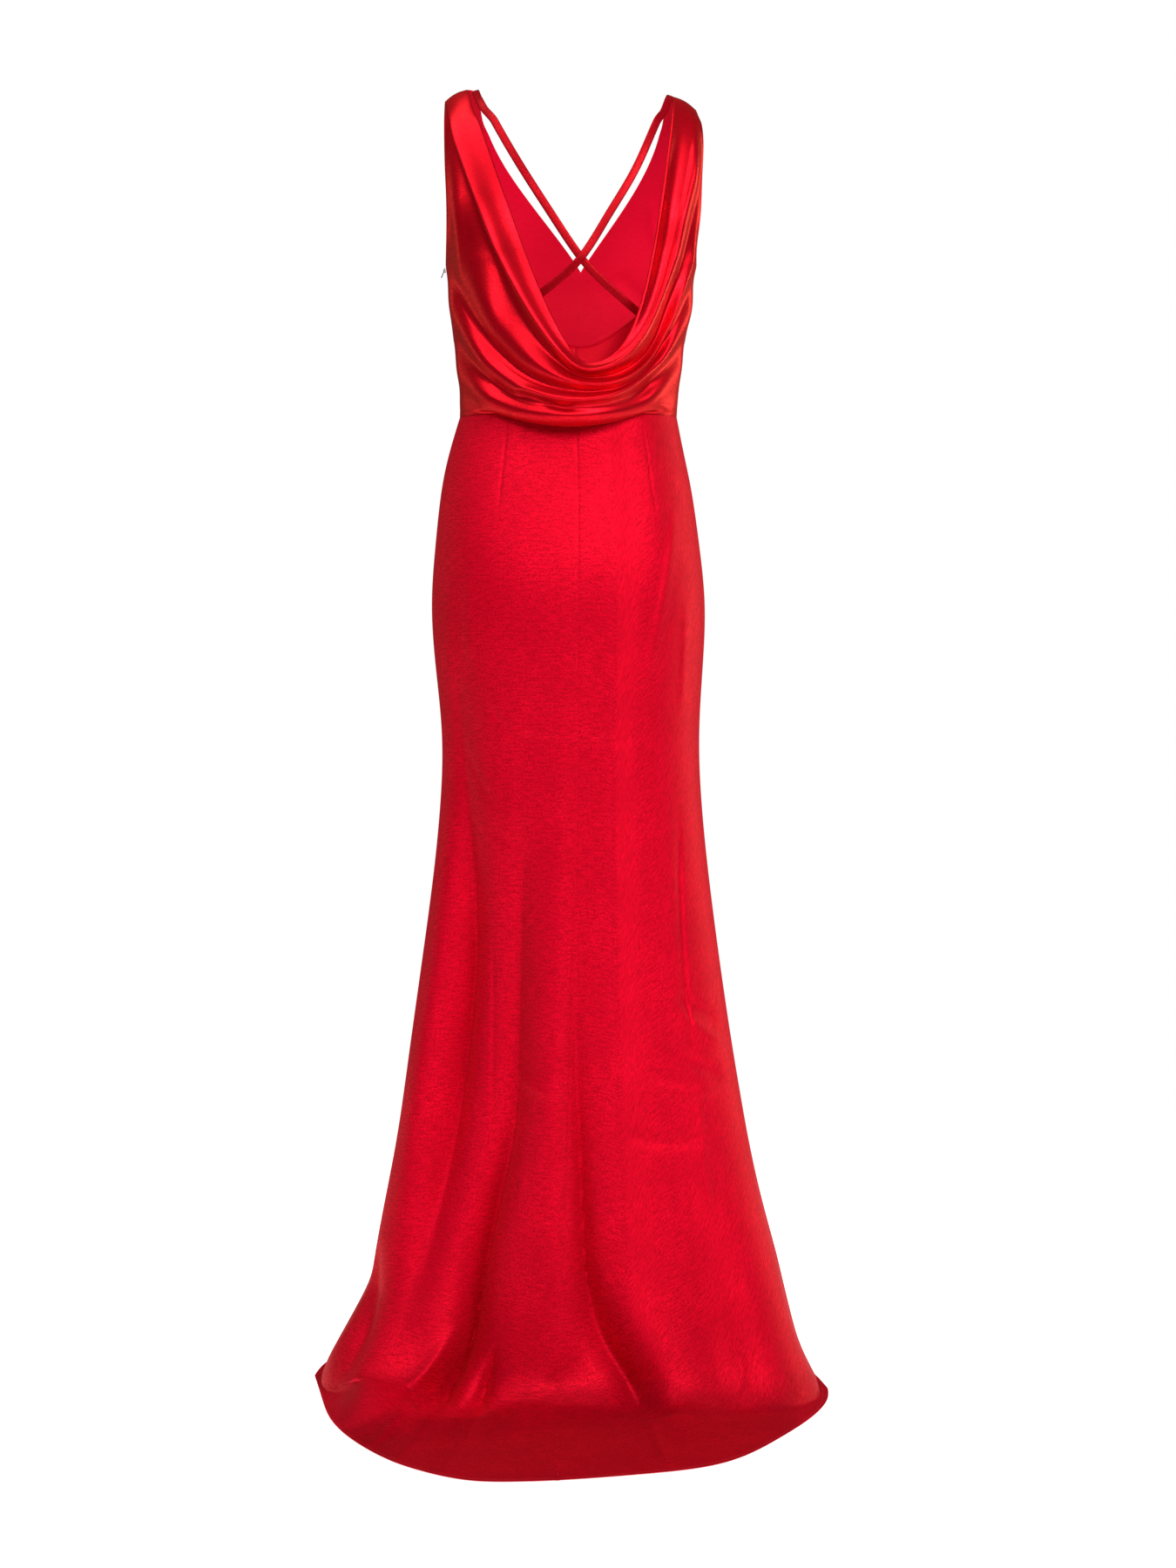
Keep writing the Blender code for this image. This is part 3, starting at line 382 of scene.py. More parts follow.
def given_wall(piece, thickness):
    """Thickens a sheet to its inner side, where the second material shows, and smooths its faces."""
    if thickness:
        wall = piece.modifiers.new("cloth", "SOLIDIFY")
        wall.thickness = thickness
        wall.offset = -1.0
        wall.material_offset = 1
        bpy.ops.object.modifier_apply(modifier="cloth")
    bpy.ops.object.shade_smooth_by_angle(angle=SMOOTH_ANGLE)


def cloth_sheet(name, places, outside, face_stuff, back_stuff, thickness=CLOTH):
    """A piece of cloth through rows of places, with its threads measured in metres on its UV map."""
    rows, columns = places.shape[:2]
    middle_row, middle_column = rows // 2, columns // 2
    side = places[middle_row, middle_column + 1] - places[middle_row, middle_column]
    down = places[middle_row + 1, middle_column] - places[middle_row, middle_column]
    if np.dot(np.cross(side, down), outside) < 0:
        places = places[::-1]
    across = np.linalg.norm(np.diff(places, axis=1, prepend=places[:, :1]), axis=-1).cumsum(axis=1)
    along = np.linalg.norm(np.diff(places, axis=0, prepend=places[:1]), axis=-1).cumsum(axis=0)
    across = across - across[:, columns // 2][:, None]
    bpy.ops.mesh.primitive_grid_add(x_subdivisions=columns - 1, y_subdivisions=rows - 1, size=1.0)
    piece = bpy.context.object
    piece.name = piece.data.name = name
    piece.data.vertices.foreach_set("co", places.reshape(-1))
    corners = np.zeros(len(piece.data.loops), np.int32)
    piece.data.loops.foreach_get("vertex_index", corners)
    threads = np.stack([across, along], axis=-1).reshape(-1, 2)[corners]
    piece.data.uv_layers[0].data.foreach_set("uv", threads.reshape(-1))
    piece.data.materials.append(face_stuff)
    piece.data.materials.append(back_stuff)
    given_wall(piece, thickness)
    return piece


# The painted shade of the train where it lies on the floor, as the share of its brightness that it keeps.
# It is full up to the first height above the floor and gone at the second, along an edge that wavers.
# It is full beyond the first distance behind the shoulders and gone at the second, on lines that come
# nearer at the right, and it weakens to the sides between two distances off the middle.
TRAIN_SHADE = 0.68
TRAIN_SHADE_HEIGHTS = (0.002, 0.040)
TRAIN_SHADE_WAVER = 0.030
TRAIN_SHADE_BEHIND = (-0.20, -0.12)
TRAIN_SHADE_SLANT = 0.4
TRAIN_SHADE_SIDES = (0.17, 0.26)
TRAIN_SHADE_AT_SIDES = 0.9
# A fainter painted shade lies on the cloth above, and is gone at the second height.
LOW_SHADE = 0.90
LOW_SHADE_HEIGHTS = (0.04, 0.20)


def red_satin(name, deep, bright, glare, roughness, gloss, grain, patches, turn=0.0):
    """Polyester satin: a warp-faced weave of bright filament, so that it shines in broad soft bands.

    Threads are about 0.1 mm; their slubs are drawn 2 to 12 mm long so that they show.  "glare" is how
    much it shines in its own red, "gloss" how pale its other shine is, "grain" the depth of the weave,
    "patches" how unevenly the bright threads show, and "turn" the lie of the threads on the piece.
    """
    stuff = bpy.data.materials.new(name)
    stuff.use_nodes = True
    tree = stuff.node_tree
    shader = tree.nodes["Principled BSDF"]
    threads = add_node(tree, "ShaderNodeTexCoord")
    fine = add_node(tree, "ShaderNodeMapping",
                    {"Rotation": (0.0, 0.0, turn), "Scale": (380.0, 560.0, 1.0)},
                    {"Vector": threads.outputs["UV"]})
    speckle = add_node(tree, "ShaderNodeTexNoise",
                       {"noise_dimensions": "2D", "Scale": 1.0, "Detail": 3.0, "Roughness": 0.65},
                       {"Vector": fine.outputs["Vector"]})
    weft = add_node(tree, "ShaderNodeMapping",
                    {"Rotation": (0.0, 0.0, turn), "Scale": (80.0, 420.0, 1.0)},
                    {"Vector": threads.outputs["UV"]})
    slub = add_node(tree, "ShaderNodeTexNoise",
                    {"noise_dimensions": "2D", "Scale": 1.0, "Detail": 2.0, "Roughness": 0.6},
                    {"Vector": weft.outputs["Vector"]})
    mixed = add_node(tree, "ShaderNodeMix", {"data_type": "FLOAT", "Factor": 0.38},
                     {2: speckle.outputs["Fac"], 3: slub.outputs["Fac"]})
    worn = add_node(tree, "ShaderNodeTexNoise", {"Scale": 16.0, "Detail": 3.0, "Roughness": 0.6},
                    {"Vector": threads.outputs["Object"]})
    patch = add_node(tree, "ShaderNodeMapRange",
                     {"From Min": 0.35, "From Max": 0.65, "To Min": 1.0 - patches, "To Max": 1.0},
                     {"Value": worn.outputs["Fac"]})
    raised = add_node(tree, "ShaderNodeMapRange",
                      {"From Min": 0.38, "From Max": 0.62, "To Min": 0.0, "To Max": 1.0},
                      {"Value": mixed.outputs[0]})
    shown = add_node(tree, "ShaderNodeMath", {"operation": "MULTIPLY"},
                     {0: raised.outputs["Result"], 1: patch.outputs["Result"]})
    colour = add_node(tree, "ShaderNodeMix", {"data_type": "RGBA", 6: linear(deep), 7: linear(bright)},
                      {"Factor": shown.outputs["Value"]})
    # painted shade: the train is darkened where it lies on the floor behind the dress
    place = add_node(tree, "ShaderNodeSeparateXYZ", None, {"Vector": threads.outputs["Object"]})
    uneven = add_node(tree, "ShaderNodeMath",
                      {"operation": "MULTIPLY_ADD", 1: TRAIN_SHADE_WAVER, 2: -TRAIN_SHADE_WAVER / 2.0},
                      {0: worn.outputs["Fac"]})
    lying = add_node(tree, "ShaderNodeMath", {"operation": "ADD"},
                     {0: place.outputs["Z"], 1: uneven.outputs["Value"]})
    painted_floor_shade = add_node(tree, "ShaderNodeMapRange",
                      {"From Min": FLOOR + TRAIN_SHADE_HEIGHTS[0],
                       "From Max": FLOOR + TRAIN_SHADE_HEIGHTS[1],
                       "To Min": TRAIN_SHADE, "To Max": 1.0},
                      {"Value": lying.outputs["Value"]})
    behind = add_node(tree, "ShaderNodeMath", {"operation": "MULTIPLY_ADD", 1: -TRAIN_SHADE_SLANT},
                      {0: place.outputs["X"], 2: place.outputs["Y"]})
    trailing = add_node(tree, "ShaderNodeMapRange",
                        {"From Min": TRAIN_SHADE_BEHIND[0], "From Max": TRAIN_SHADE_BEHIND[1],
                         "To Min": 0.0, "To Max": 1.0},
                        {"Value": behind.outputs["Value"]})
    aside = add_node(tree, "ShaderNodeMath", {"operation": "ABSOLUTE"}, {0: place.outputs["X"]})
    outer = add_node(tree, "ShaderNodeMapRange",
                     {"From Min": TRAIN_SHADE_SIDES[0], "From Max": TRAIN_SHADE_SIDES[1],
                      "To Min": 0.0, "To Max": TRAIN_SHADE_AT_SIDES},
                     {"Value": aside.outputs["Value"]})
    clear = add_node(tree, "ShaderNodeMath", {"operation": "MAXIMUM"},
                     {0: trailing.outputs["Result"], 1: outer.outputs["Result"]})
    shaded = add_node(tree, "ShaderNodeMath", {"operation": "MAXIMUM"},
                      {0: painted_floor_shade.outputs["Result"], 1: clear.outputs["Value"]})
    # and painted shade, a little darker, over the last hand's breadth above it
    near_floor = add_node(tree, "ShaderNodeMapRange",
                          {"From Min": FLOOR + LOW_SHADE_HEIGHTS[0],
                           "From Max": FLOOR + LOW_SHADE_HEIGHTS[1],
                           "To Min": LOW_SHADE, "To Max": 1.0},
                          {"Value": place.outputs["Z"]})
    deeper = add_node(tree, "ShaderNodeMath", {"operation": "MULTIPLY"},
                      {0: shaded.outputs["Value"], 1: near_floor.outputs["Result"]})
    colour = add_node(tree, "ShaderNodeMix", {"data_type": "RGBA", 6: (0.0, 0.0, 0.0, 1.0)},
                      {"Factor": deeper.outputs["Value"], 7: colour.outputs[2]})
    sheen = add_node(tree, "ShaderNodeMapRange", {"To Min": roughness + 0.06, "To Max": roughness - 0.06},
                     {"Value": shown.outputs["Value"]})
    relief = add_node(tree, "ShaderNodeBump", {"Strength": grain, "Distance": 0.0004},
                      {"Height": mixed.outputs[0]})
    tree.links.new(colour.outputs[2], shader.inputs["Base Color"])
    tree.links.new(sheen.outputs["Result"], shader.inputs["Roughness"])
    tree.links.new(relief.outputs["Normal"], shader.inputs["Normal"])
    # the threads that float on the face run lengthwise, so the gloss spreads across them
    across_threads = add_node(tree, "ShaderNodeTangent", {"direction_type": "UV_MAP"})
    tree.links.new(across_threads.outputs["Tangent"], shader.inputs["Tangent"])
    shader.inputs["Anisotropic"].default_value = 0.4
    shader.inputs["Metallic"].default_value = glare
    shader.inputs["Specular Tint"].default_value = (1.0, 1.3 * gloss, 0.9 * gloss, 1.0)
    shader.inputs["Specular IOR Level"].default_value = 0.22
    shader.inputs["Sheen Weight"].default_value = 0.03
    shader.inputs["Sheen Roughness"].default_value = 0.4
    shader.inputs["Sheen Tint"].default_value = (1.0, 0.25, 0.18, 1.0)
    return stuff


def dull_side(name, deep, bright):
    """The wrong side of the satin: matt, even and crimson, with a faint painted glow."""
    stuff = red_satin(name, deep, bright, 0.0, 0.72, 0.3, 0.15, 0.5)
    shader = stuff.node_tree.nodes["Principled BSDF"]
    shader.inputs["Sheen Weight"].default_value = 0.0
    shader.inputs["Specular IOR Level"].default_value = 0.25
    # painted light: a faint glow of its own red stands in for daylight that comes through the single layer
    # from the far side
    shader.inputs["Emission Color"].default_value = linear(bright)
    shader.inputs["Emission Strength"].default_value = 0.03
    return stuff


# The front is seen mostly from its wrong side, through the open back: even, matt and cooler in its red.
front_satin = red_satin("satin_of_the_front", "CE0024", "E8082C", 0.42, 0.42, 0.4, 0.3, 0.6)
wrong_side = dull_side("dull_wrong_side", "DC002C", "E40431")

FRONT_COLUMNS = 70
FRONT_LOW_ROWS = 55
FRONT_NECK_ROWS = 80
FRONT_NECK_CROWDING = 1.15
neck_rows = np.linspace(0.0, 1.0, FRONT_NECK_ROWS + 1)[1:] ** FRONT_NECK_CROWDING
front_levels = np.concatenate([np.linspace(0.0, NECK_BASE_LEVEL, FRONT_LOW_ROWS + 1),
                               NECK_BASE_LEVEL + (2.0 - NECK_BASE_LEVEL) * neck_rows])
FRONT_CREASES = (
    # bust darts: a sewn line and the fullness that springs from its point
    Crease(-0.8 * MM, 1.6 * MM, 1.6 * MM, ((-0.139, 1.232), (-0.112, 1.243), (-0.082, 1.252))),
    Crease(-0.8 * MM, 1.6 * MM, 1.6 * MM, ((0.140, 1.232), (0.113, 1.243), (0.084, 1.252))),
    Crease(1.6 * MM, 9.0 * MM, 12.0 * MM, ((-0.096, 1.244), (-0.070, 1.262), (-0.052, 1.292))),
    Crease(1.6 * MM, 12.0 * MM, 9.0 * MM, ((0.098, 1.244), (0.074, 1.260), (0.055, 1.288))),
    # soft drags from the waist up towards the bust
    Crease(-1.4 * MM, 8.0 * MM, 12.0 * MM, ((-0.070, 1.112), (-0.074, 1.160), (-0.060, 1.215))),
    Crease(-1.4 * MM, 12.0 * MM, 8.0 * MM, ((0.066, 1.112), (0.072, 1.164), (0.062, 1.210))),
    Crease(-1.2 * MM, 6.0 * MM, 9.0 * MM, ((-0.118, 1.130), (-0.108, 1.170), (-0.098, 1.205))),
    Crease(1.4 * MM, 9.0 * MM, 7.0 * MM, ((0.020, 1.118), (0.012, 1.150), (0.024, 1.196))),
    Crease(-1.2 * MM, 7.0 * MM, 5.0 * MM, ((0.112, 1.296), (0.098, 1.330), (0.094, 1.372))),
    Crease(-1.2 * MM, 5.0 * MM, 7.0 * MM, ((-0.114, 1.294), (-0.101, 1.324), (-0.096, 1.360))),
)


def round_shoulder(places):
    """Lets both corners of the shoulder fall away softly."""
    out = np.abs(places[..., 0])
    tip = np.clip((out - ROUNDED_TIP_FROM) / ROUNDED_TIP_REACH, 0.0, ROUNDED_TIP_LIMIT) ** 2
    neck = np.clip((ROUNDED_NECK_TO - out) / ROUNDED_NECK_REACH, 0.0, 1.0) ** 2
    near_top = ease((places[..., 2] + ROUNDED_BELOW) / ROUNDED_DEPTH)
    places[..., 2] -= (SHOULDER_ROUNDING * tip + NECK_ROUNDING * neck) * near_top
    return places


def front_half(side):
    """One half of the front, from its side seam or armhole to the neck edge or the middle."""
    level = front_levels[:, None]
    shift = NECK_SHIFT * (1.0 - NECK_SHIFT_LOST * ease(level - 1.0))
    open_part = np.maximum(0.0, (level - NECK_BASE_LEVEL) / (2.0 - NECK_BASE_LEVEL))
    half = NECK_POINT * np.sin(math.pi / 2.0 * open_part) ** NECK_SWEEP
    inner = across_at(shift + side * half, level)
    armhole = read_table(FRONT_ARMHOLE, [step.level for step in FRONT_ARMHOLE], level)
    edge = armhole["right"] if side > 0 else -armhole["left"]
    outer = np.where(level <= 1.0, side * 1.0, across_at(edge, level))
    steps = 0.5 - 0.5 * np.cos(math.pi * np.linspace(0.0, 1.0, FRONT_COLUMNS + 1))
    across = outer + (inner - outer) * steps
    places = bodice_surface(across, level, 1)
    places[..., 2] += SEAM_GAP / 2.0
    normals = facing_out(places, (0.0, 1.0, 0.0))
    lift = crease_lift(places[..., 0], places[..., 2] + SHOULDER_HEIGHT, FRONT_CREASES)
    return places + normals * lift[..., None]


halves = []
for side in (-1, 1):
    places = round_shoulder(front_half(side))
    normals = facing_out(places, (0.0, 1.0, 0.0))
    places = turned_in(places, normals, "first", SEAM_ALLOWANCE)
    halves.append(cloth_sheet("front_half", places, (0.0, 1.0, 0.0), front_satin, wrong_side, 0.0))
bpy.ops.object.select_all(action="DESELECT")
for half in halves:
    half.select_set(True)
bpy.context.view_layer.objects.active = halves[0]
bpy.ops.object.join()
front_bodice = bpy.context.object
front_bodice.name = front_bodice.data.name = "front_bodice_cloth"
bpy.ops.object.mode_set(mode="EDIT")
bpy.ops.mesh.select_all(action="SELECT")
bpy.ops.mesh.remove_doubles(threshold=0.02 * MM)
bpy.ops.object.mode_set(mode="OBJECT")
given_wall(front_bodice, CLOTH)
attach(front_bodice, "dress")
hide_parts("front_bodice")

# ---- cowl ---------------------------------------------------------------------------------------
# The back is one bias-cut drape, hung from the shoulders and fuller than the figure, so that it
# falls in U-shaped rolls.  Its top edge is turned over to the inside as a facing.

# Each row of the drape runs from a place on the left edge down to its low point and up to the right
# edge.  The five distances off the figure are read from left to right along it.
Swag = namedtuple("Swag", "name left right low_x low_height left_bend right_bend "
                          "far_l near_l middle near_r far_r")
COWL_SWAGS = (
    Swag("neck edge", 0.000, 0.000, 0.019, 1.1610, 1.08, 2.50, 0.004, 0.009, 0.040, 0.017, 0.008),
    Swag("inner flank", 0.034, 0.055, 0.019, 1.1570, 1.27, 2.35, 0.012, 0.020, 0.0445, 0.0125, 0.004),
    Swag("first roll", 0.066, 0.150, 0.020, 1.1520, 1.48, 2.15, 0.020, 0.031, 0.047, 0.022, 0.014),
    Swag("first hollow", 0.125, 0.310, 0.021, 1.1455, 1.65, 2.50, 0.003, 0.007, 0.034, 0.006, 0.002),
    Swag("second roll", 0.420, 0.470, 0.025, 1.1384, 2.25, 2.25, 0.010, 0.020, 0.0455, 0.017, 0.009),
    Swag("second hollow", 0.560, 0.600, 0.020, 1.1305, 2.40, 2.20, 0.004, 0.010, 0.037, 0.008, 0.003),
    Swag("third roll", 0.670, 0.690, 0.013, 1.1225, 2.60, 2.20, 0.009, 0.019, 0.0445, 0.016, 0.008),
    Swag("third hollow", 0.770, 0.780, 0.007, 1.1130, 2.50, 2.30, 0.004, 0.011, 0.038, 0.010, 0.004),
    Swag("waist roll", 0.855, 0.850, 0.002, 1.1025, 2.30, 2.40, 0.009, 0.018, 0.039, 0.016, 0.008),
    Swag("underside", 0.920, 0.920, 0.000, 1.0920, 2.10, 2.10, 0.005, 0.012, 0.027, 0.012, 0.005),
    Swag("turn to the seam", 0.965, 0.965, 0.000, 1.0990, 2.00, 2.00, 0.003, 0.006, 0.014, 0.006, 0.003),
    Swag("lip over the seam", 0.990, 0.990, 0.000, 1.1096, 2.00, 2.00, 0.001, 0.002, 0.005, 0.002, 0.001),
    Swag("waist seam", 1.000, 1.000, 0.000, 1.1096, 2.00, 2.00, 0.000, 0.000, 0.000, 0.000, 0.000),
)
COWL_ARMHOLE = (
    ArmholeStep(0.07, 2.00, 0.1430, 0.1430),
    ArmholeStep(0.20, 1.80, 0.1428, 0.1505),
    ArmholeStep(0.34, 1.52, 0.1412, 0.1490),
    ArmholeStep(0.47, 1.25, 0.1395, 0.1465),
    ArmholeStep(0.54, 1.10, 0.1408, 0.1435),
    ArmholeStep(0.60, 1.00, 0.1425, 0.1440),
)
COWL_NECK_LEFT = 0.118
COWL_NECK_RIGHT = 0.119
SHOULDER_TIP_ALONG = 0.07
UNDERARM_ALONG = 0.60
# How each row's distances off the figure pass into one another, as shares of its half.
MIDDLE_TO = 0.04
MIDDLE_FADE = 0.42
NEAR_TO = 0.42
NEAR_FADE = 0.36
EDGE_FADE = 0.24
LOW_ROUNDING = 0.20
EDGE_ROLL_RADIUS = 2.0 * MM
EDGE_FACING = 10.0 * MM
EDGE_FALL_ROWS = 4
EDGE_ROLL_TURNS = (180.0, 150.0, 120.0, 90.0, 60.0, 30.0)
COWL_COLUMNS = 100
COWL_STEPS = 18
BRANCH_STEPS = 120
COWL_CREASES = (
    # a small closed fold low in the middle, and the pocket under it
    Crease(1.8 * MM, 3.4 * MM, 2.6 * MM,
           ((-0.068, 1.133), (-0.045, 1.134), (-0.019, 1.124), (0.010, 1.120), (0.052, 1.128))),
    Crease(-3.2 * MM, 3.8 * MM, 3.8 * MM,
           ((-0.056, 1.129), (-0.038, 1.124), (-0.012, 1.114), (0.012, 1.112))),
)
BIAS = math.radians(45.0)

# On the bias and loose, the satin shows its brightest rolls beside its deepest hollows.
cowl_satin = red_satin("satin_of_the_cowl", "BA0017", "E20921", 0.72, 0.35, 0.6, 0.25, 0.4, BIAS)


def cowl_edge(along, side):
    """x and level of places on the cowl's edge: shoulder, then armhole, then side seam."""
    neck = COWL_NECK_RIGHT if side > 0 else COWL_NECK_LEFT
    column = "right" if side > 0 else "left"
    tip = getattr(COWL_ARMHOLE[0], column)
    armhole = read_table(COWL_ARMHOLE, [step.along for step in COWL_ARMHOLE], along)
    seam_level = 1.0 - (along - UNDERARM_ALONG) / (1.0 - UNDERARM_ALONG)
    x = np.where(along <= SHOULDER_TIP_ALONG, neck + (tip - neck) * along / SHOULDER_TIP_ALONG,
                 np.where(along <= UNDERARM_ALONG, armhole[column], bodice_ring(seam_level)[column]))
    level = np.where(along <= SHOULDER_TIP_ALONG, 2.0,
                     np.where(along <= UNDERARM_ALONG, armhole["level"], seam_level))
    return side * x, level


def hanging_branch(swag, side):
    """Half of every row of the cowl, from its low point up to its end at the edge."""
    column = "right" if side > 0 else "left"
    end_x, end_level = cowl_edge(swag[column], side)
    # the rows that end low on the side seam stay half a seam's gap above the skirt
    above_waist = np.where(end_level < 0.5, SEAM_GAP / 2.0, 0.0)
    end_height = height_at(end_x, end_level) + above_waist
    bend = swag[column + "_bend"][:, None]
    part = np.linspace(0.0, 1.0, BRANCH_STEPS + 1)[None, :]
    base = LOW_ROUNDING ** bend
    rise = np.hypot(part, LOW_ROUNDING) ** bend - base
    rise = rise / (math.hypot(1.0, LOW_ROUNDING) ** bend - base)
    x = swag["low_x"][:, None] + (end_x - swag["low_x"])[:, None] * part
    height = swag["low_height"][:, None] + (end_height - swag["low_height"])[:, None] * rise
    level = level_at(x, height)
    worn = bodice_surface(across_at(x, level), level, -1)
    lengths = np.linalg.norm(np.diff(worn, axis=1, prepend=worn[:, :1]), axis=-1).cumsum(axis=1)
    shares = np.linspace(0.0, 1.0, COWL_COLUMNS + 1)
    xs, heights = np.zeros((2, len(x), len(shares)))
    for row in range(len(x)):
        xs[row] = np.interp(shares * lengths[row, -1], lengths[row], x[row])
        heights[row] = np.interp(shares * lengths[row, -1], lengths[row], height[row])
    near, far = swag["near_" + column[0]][:, None], swag["far_" + column[0]][:, None]
    middle = swag["middle"][:, None]
    lift = middle + (near - middle) * ease((shares - MIDDLE_TO) / MIDDLE_FADE)
    lift = (lift + (far - near) * ease((shares - NEAR_TO) / NEAR_FADE)) * ease((1.0 - shares) / EDGE_FADE)
    lift = lift + crease_lift(xs, heights, COWL_CREASES)
    places = on_bodice(xs, heights, -1, lift)
    places[..., 2] = heights - SHOULDER_HEIGHT
    edge = bodice_surface(across_at(end_x, end_level), end_level, -1)
    edge[:, 2] += above_waist
    places[:, -1] = edge
    return places


swag_numbers = np.arange(len(COWL_SWAGS))
swag_rows = np.linspace(0.0, swag_numbers[-1], COWL_STEPS * swag_numbers[-1] + 1)
swag = read_table(COWL_SWAGS, swag_numbers, swag_rows)
cowl = np.concatenate([hanging_branch(swag, -1)[:, :0:-1], hanging_branch(swag, 1)], axis=1)

cowl = round_shoulder(cowl)
edge_run = np.gradient(cowl[0], axis=0)
edge_fall = unit(cowl[EDGE_FALL_ROWS] - cowl[0])
edge_in = unit(np.cross(edge_run, edge_fall))
edge_in *= np.where(edge_in[:, 1:2] < 0, -1.0, 1.0)


def rolled_edge(turn, facing):
    """A row of the top edge, turned over to the inside by an angle and then run down as facing."""
    over = cowl[0] - edge_fall * (EDGE_ROLL_RADIUS * math.sin(turn) - facing)
    return over + edge_in * EDGE_ROLL_RADIUS * (1.0 - math.cos(turn))


rolled = [rolled_edge(math.pi, EDGE_FACING)]
rolled += [rolled_edge(math.radians(turn), 0.0) for turn in EDGE_ROLL_TURNS]
cowl = np.concatenate([np.stack(rolled), cowl], axis=0)
cowl_back = cloth_sheet("cowl_back_cloth", cowl, (0.0, -1.0, 0.0), cowl_satin, wrong_side)
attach(cowl_back, "dress")
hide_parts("cowl_back")

# ---- low inner back -----------------------------------------------------------------------------
# Two halves of the same satin, close to the figure and sewn at the centre, which hold the straps'
# lower ends and carry the weight that the cowl doesn't.

UNDER_CENTRE = 0.0055
UNDER_LEVEL = 0.5
UNDER_LOW_X = 0.012
UNDER_LOW_HEIGHT = 1.183
UNDER_RISE = 0.079
UNDER_RISE_REACH = 0.135
UNDER_INSET = 2.3 * MM
UNDER_COLUMNS = 80
UNDER_ROWS = 60
UNDER_SEAM_DIP = 0.9 * MM
UNDER_SEAM_SOFTNESS = 1.8 * MM
UNDER_EDGE = 0.5 * MM
UNDER_EDGE_DEPTH = 2.4 * MM
EDGE_SOFTNESS = 1.5 * MM

# Drawn close over the figure, it lies flat and in the cowl's shade, with an even, soft shine.  Its red is
# painted brighter than the rest of the same satin, as painted light against that shade.
under_satin = red_satin("satin_of_the_inner_back", "D20020", "EA0A28", 0.40, 0.36, 0.5, 0.25, 0.5)


def under_back(name, side):
    """One half of the inner back, from the centre seam to its side seam."""
    part = np.linspace(0.0, 1.0, UNDER_COLUMNS + 1)[None, :]
    middle_level = np.array(UNDER_LEVEL)
    centre = across_at(np.array(UNDER_CENTRE + side * SEAM_GAP / 2.0), middle_level)
    across = centre + (side - centre) * part
    x = bodice_surface(across, middle_level, -1)[..., 0]
    top_height = UNDER_LOW_HEIGHT + UNDER_RISE * ease(np.abs(x - UNDER_LOW_X) / UNDER_RISE_REACH)
    level = level_at(x, top_height) * np.linspace(0.0, 1.0, UNDER_ROWS + 1)[:, None]
    places = bodice_surface(across + 0.0 * level, level, -1)
    normals = facing_out(places, (0.0, -1.0, 0.0))
    from_seam = np.abs(x - UNDER_CENTRE)
    dip = UNDER_SEAM_DIP * np.exp(-(from_seam / UNDER_SEAM_SOFTNESS) ** 2)
    below_edge = top_height - height_at(x, level)
    facing_edge = UNDER_EDGE * ease((UNDER_EDGE_DEPTH - below_edge) / EDGE_SOFTNESS)
    places = places - (UNDER_INSET + dip - facing_edge)[..., None] * normals
    places[:, 0, 0] = UNDER_CENTRE + side * SEAM_GAP / 2.0
    normals = facing_out(places, (0.0, -1.0, 0.0))
    places = turned_in(places, normals, "bottom", SEAM_ALLOWANCE)
    normals = facing_out(places, (0.0, -1.0, 0.0))
    places = turned_in(places, normals, "first", SEAM_ALLOWANCE)
    return cloth_sheet(name, places, (0.0, -1.0, 0.0), under_satin, wrong_side)


for name, side in (("left", -1), ("right", 1)):
    half = under_back("under_back_" + name + "_cloth", side)
    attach(half, "dress")
    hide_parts("under_back_" + name)

# ---- straps -------------------------------------------------------------------------------------
# Two narrow tubes of satin, pressed flat.  They start in the shoulder seams beside the cowl, cross
# between the shoulder blades, the right one on top, and end on the inner back.

STRAP_WIDTH = 8.5 * MM
STRAP_OFF_BODY = 1.2 * MM
STRAP_END_LIFT = -0.4 * MM
STRAP_START_FADE = 0.04
STRAP_END_FROM = 0.70
STRAP_END_FADE = 0.28
STRAP_CROSS_LIFT = 2.25 * MM
STRAP_CROSS_REACH = 0.022
STRAP_CROSSING = 4
STRAP_STEPS = 150
STRAP_THICKNESS = 1.3 * MM
STRAP_CLOTH = 0.3 * MM
OUTWARDS_STEP = 10.0 * MM
# The strip is folded round on itself, both edges meeting at the middle of the underside.  Each place
# is a share of half the width and of the thickness.
STRAP_SECTION = (
    (0.04, 0.0), (0.5, 0.0), (0.9, 0.05), (1.0, 0.25), (0.97, 0.5), (0.8, 0.72), (0.4, 0.8), (0.0, 0.82),
    (-0.4, 0.8), (-0.8, 0.72), (-0.97, 0.5), (-1.0, 0.25), (-0.9, 0.05), (-0.5, 0.0), (-0.04, 0.0),
)
# x and height above the floor, from the shoulder seam down to the inner back; the two cross at the fifth.
LEFT_STRAP = (
    (-0.1085, 1.4836), (-0.0813, 1.4298), (-0.0516, 1.3777), (-0.0201, 1.3280),
    (0.0122, 1.2804), (0.0440, 1.2480), (0.0865, 1.2125),
)
RIGHT_STRAP = (
    (0.1140, 1.4744), (0.0941, 1.4298), (0.0715, 1.3777), (0.0425, 1.3280),
    (0.0122, 1.2804), (-0.0230, 1.2485), (-0.0660, 1.2140),
)

# Two thicknesses pressed hard make them duller than the cloth around them; their red is painted darker than
# the rest of the satin, as painted shade.
strap_satin = red_satin("satin_of_the_straps", "900010", "B80418", 0.45, 0.38, 0.3, 0.25, 0.5)


def strap_line(stops, part):
    """x and height above the floor along a strap's middle line."""
    keys = np.arange(len(stops))
    return [through(keys, [stop[axis] for stop in stops], part * keys[-1]) for axis in (0, 1)]


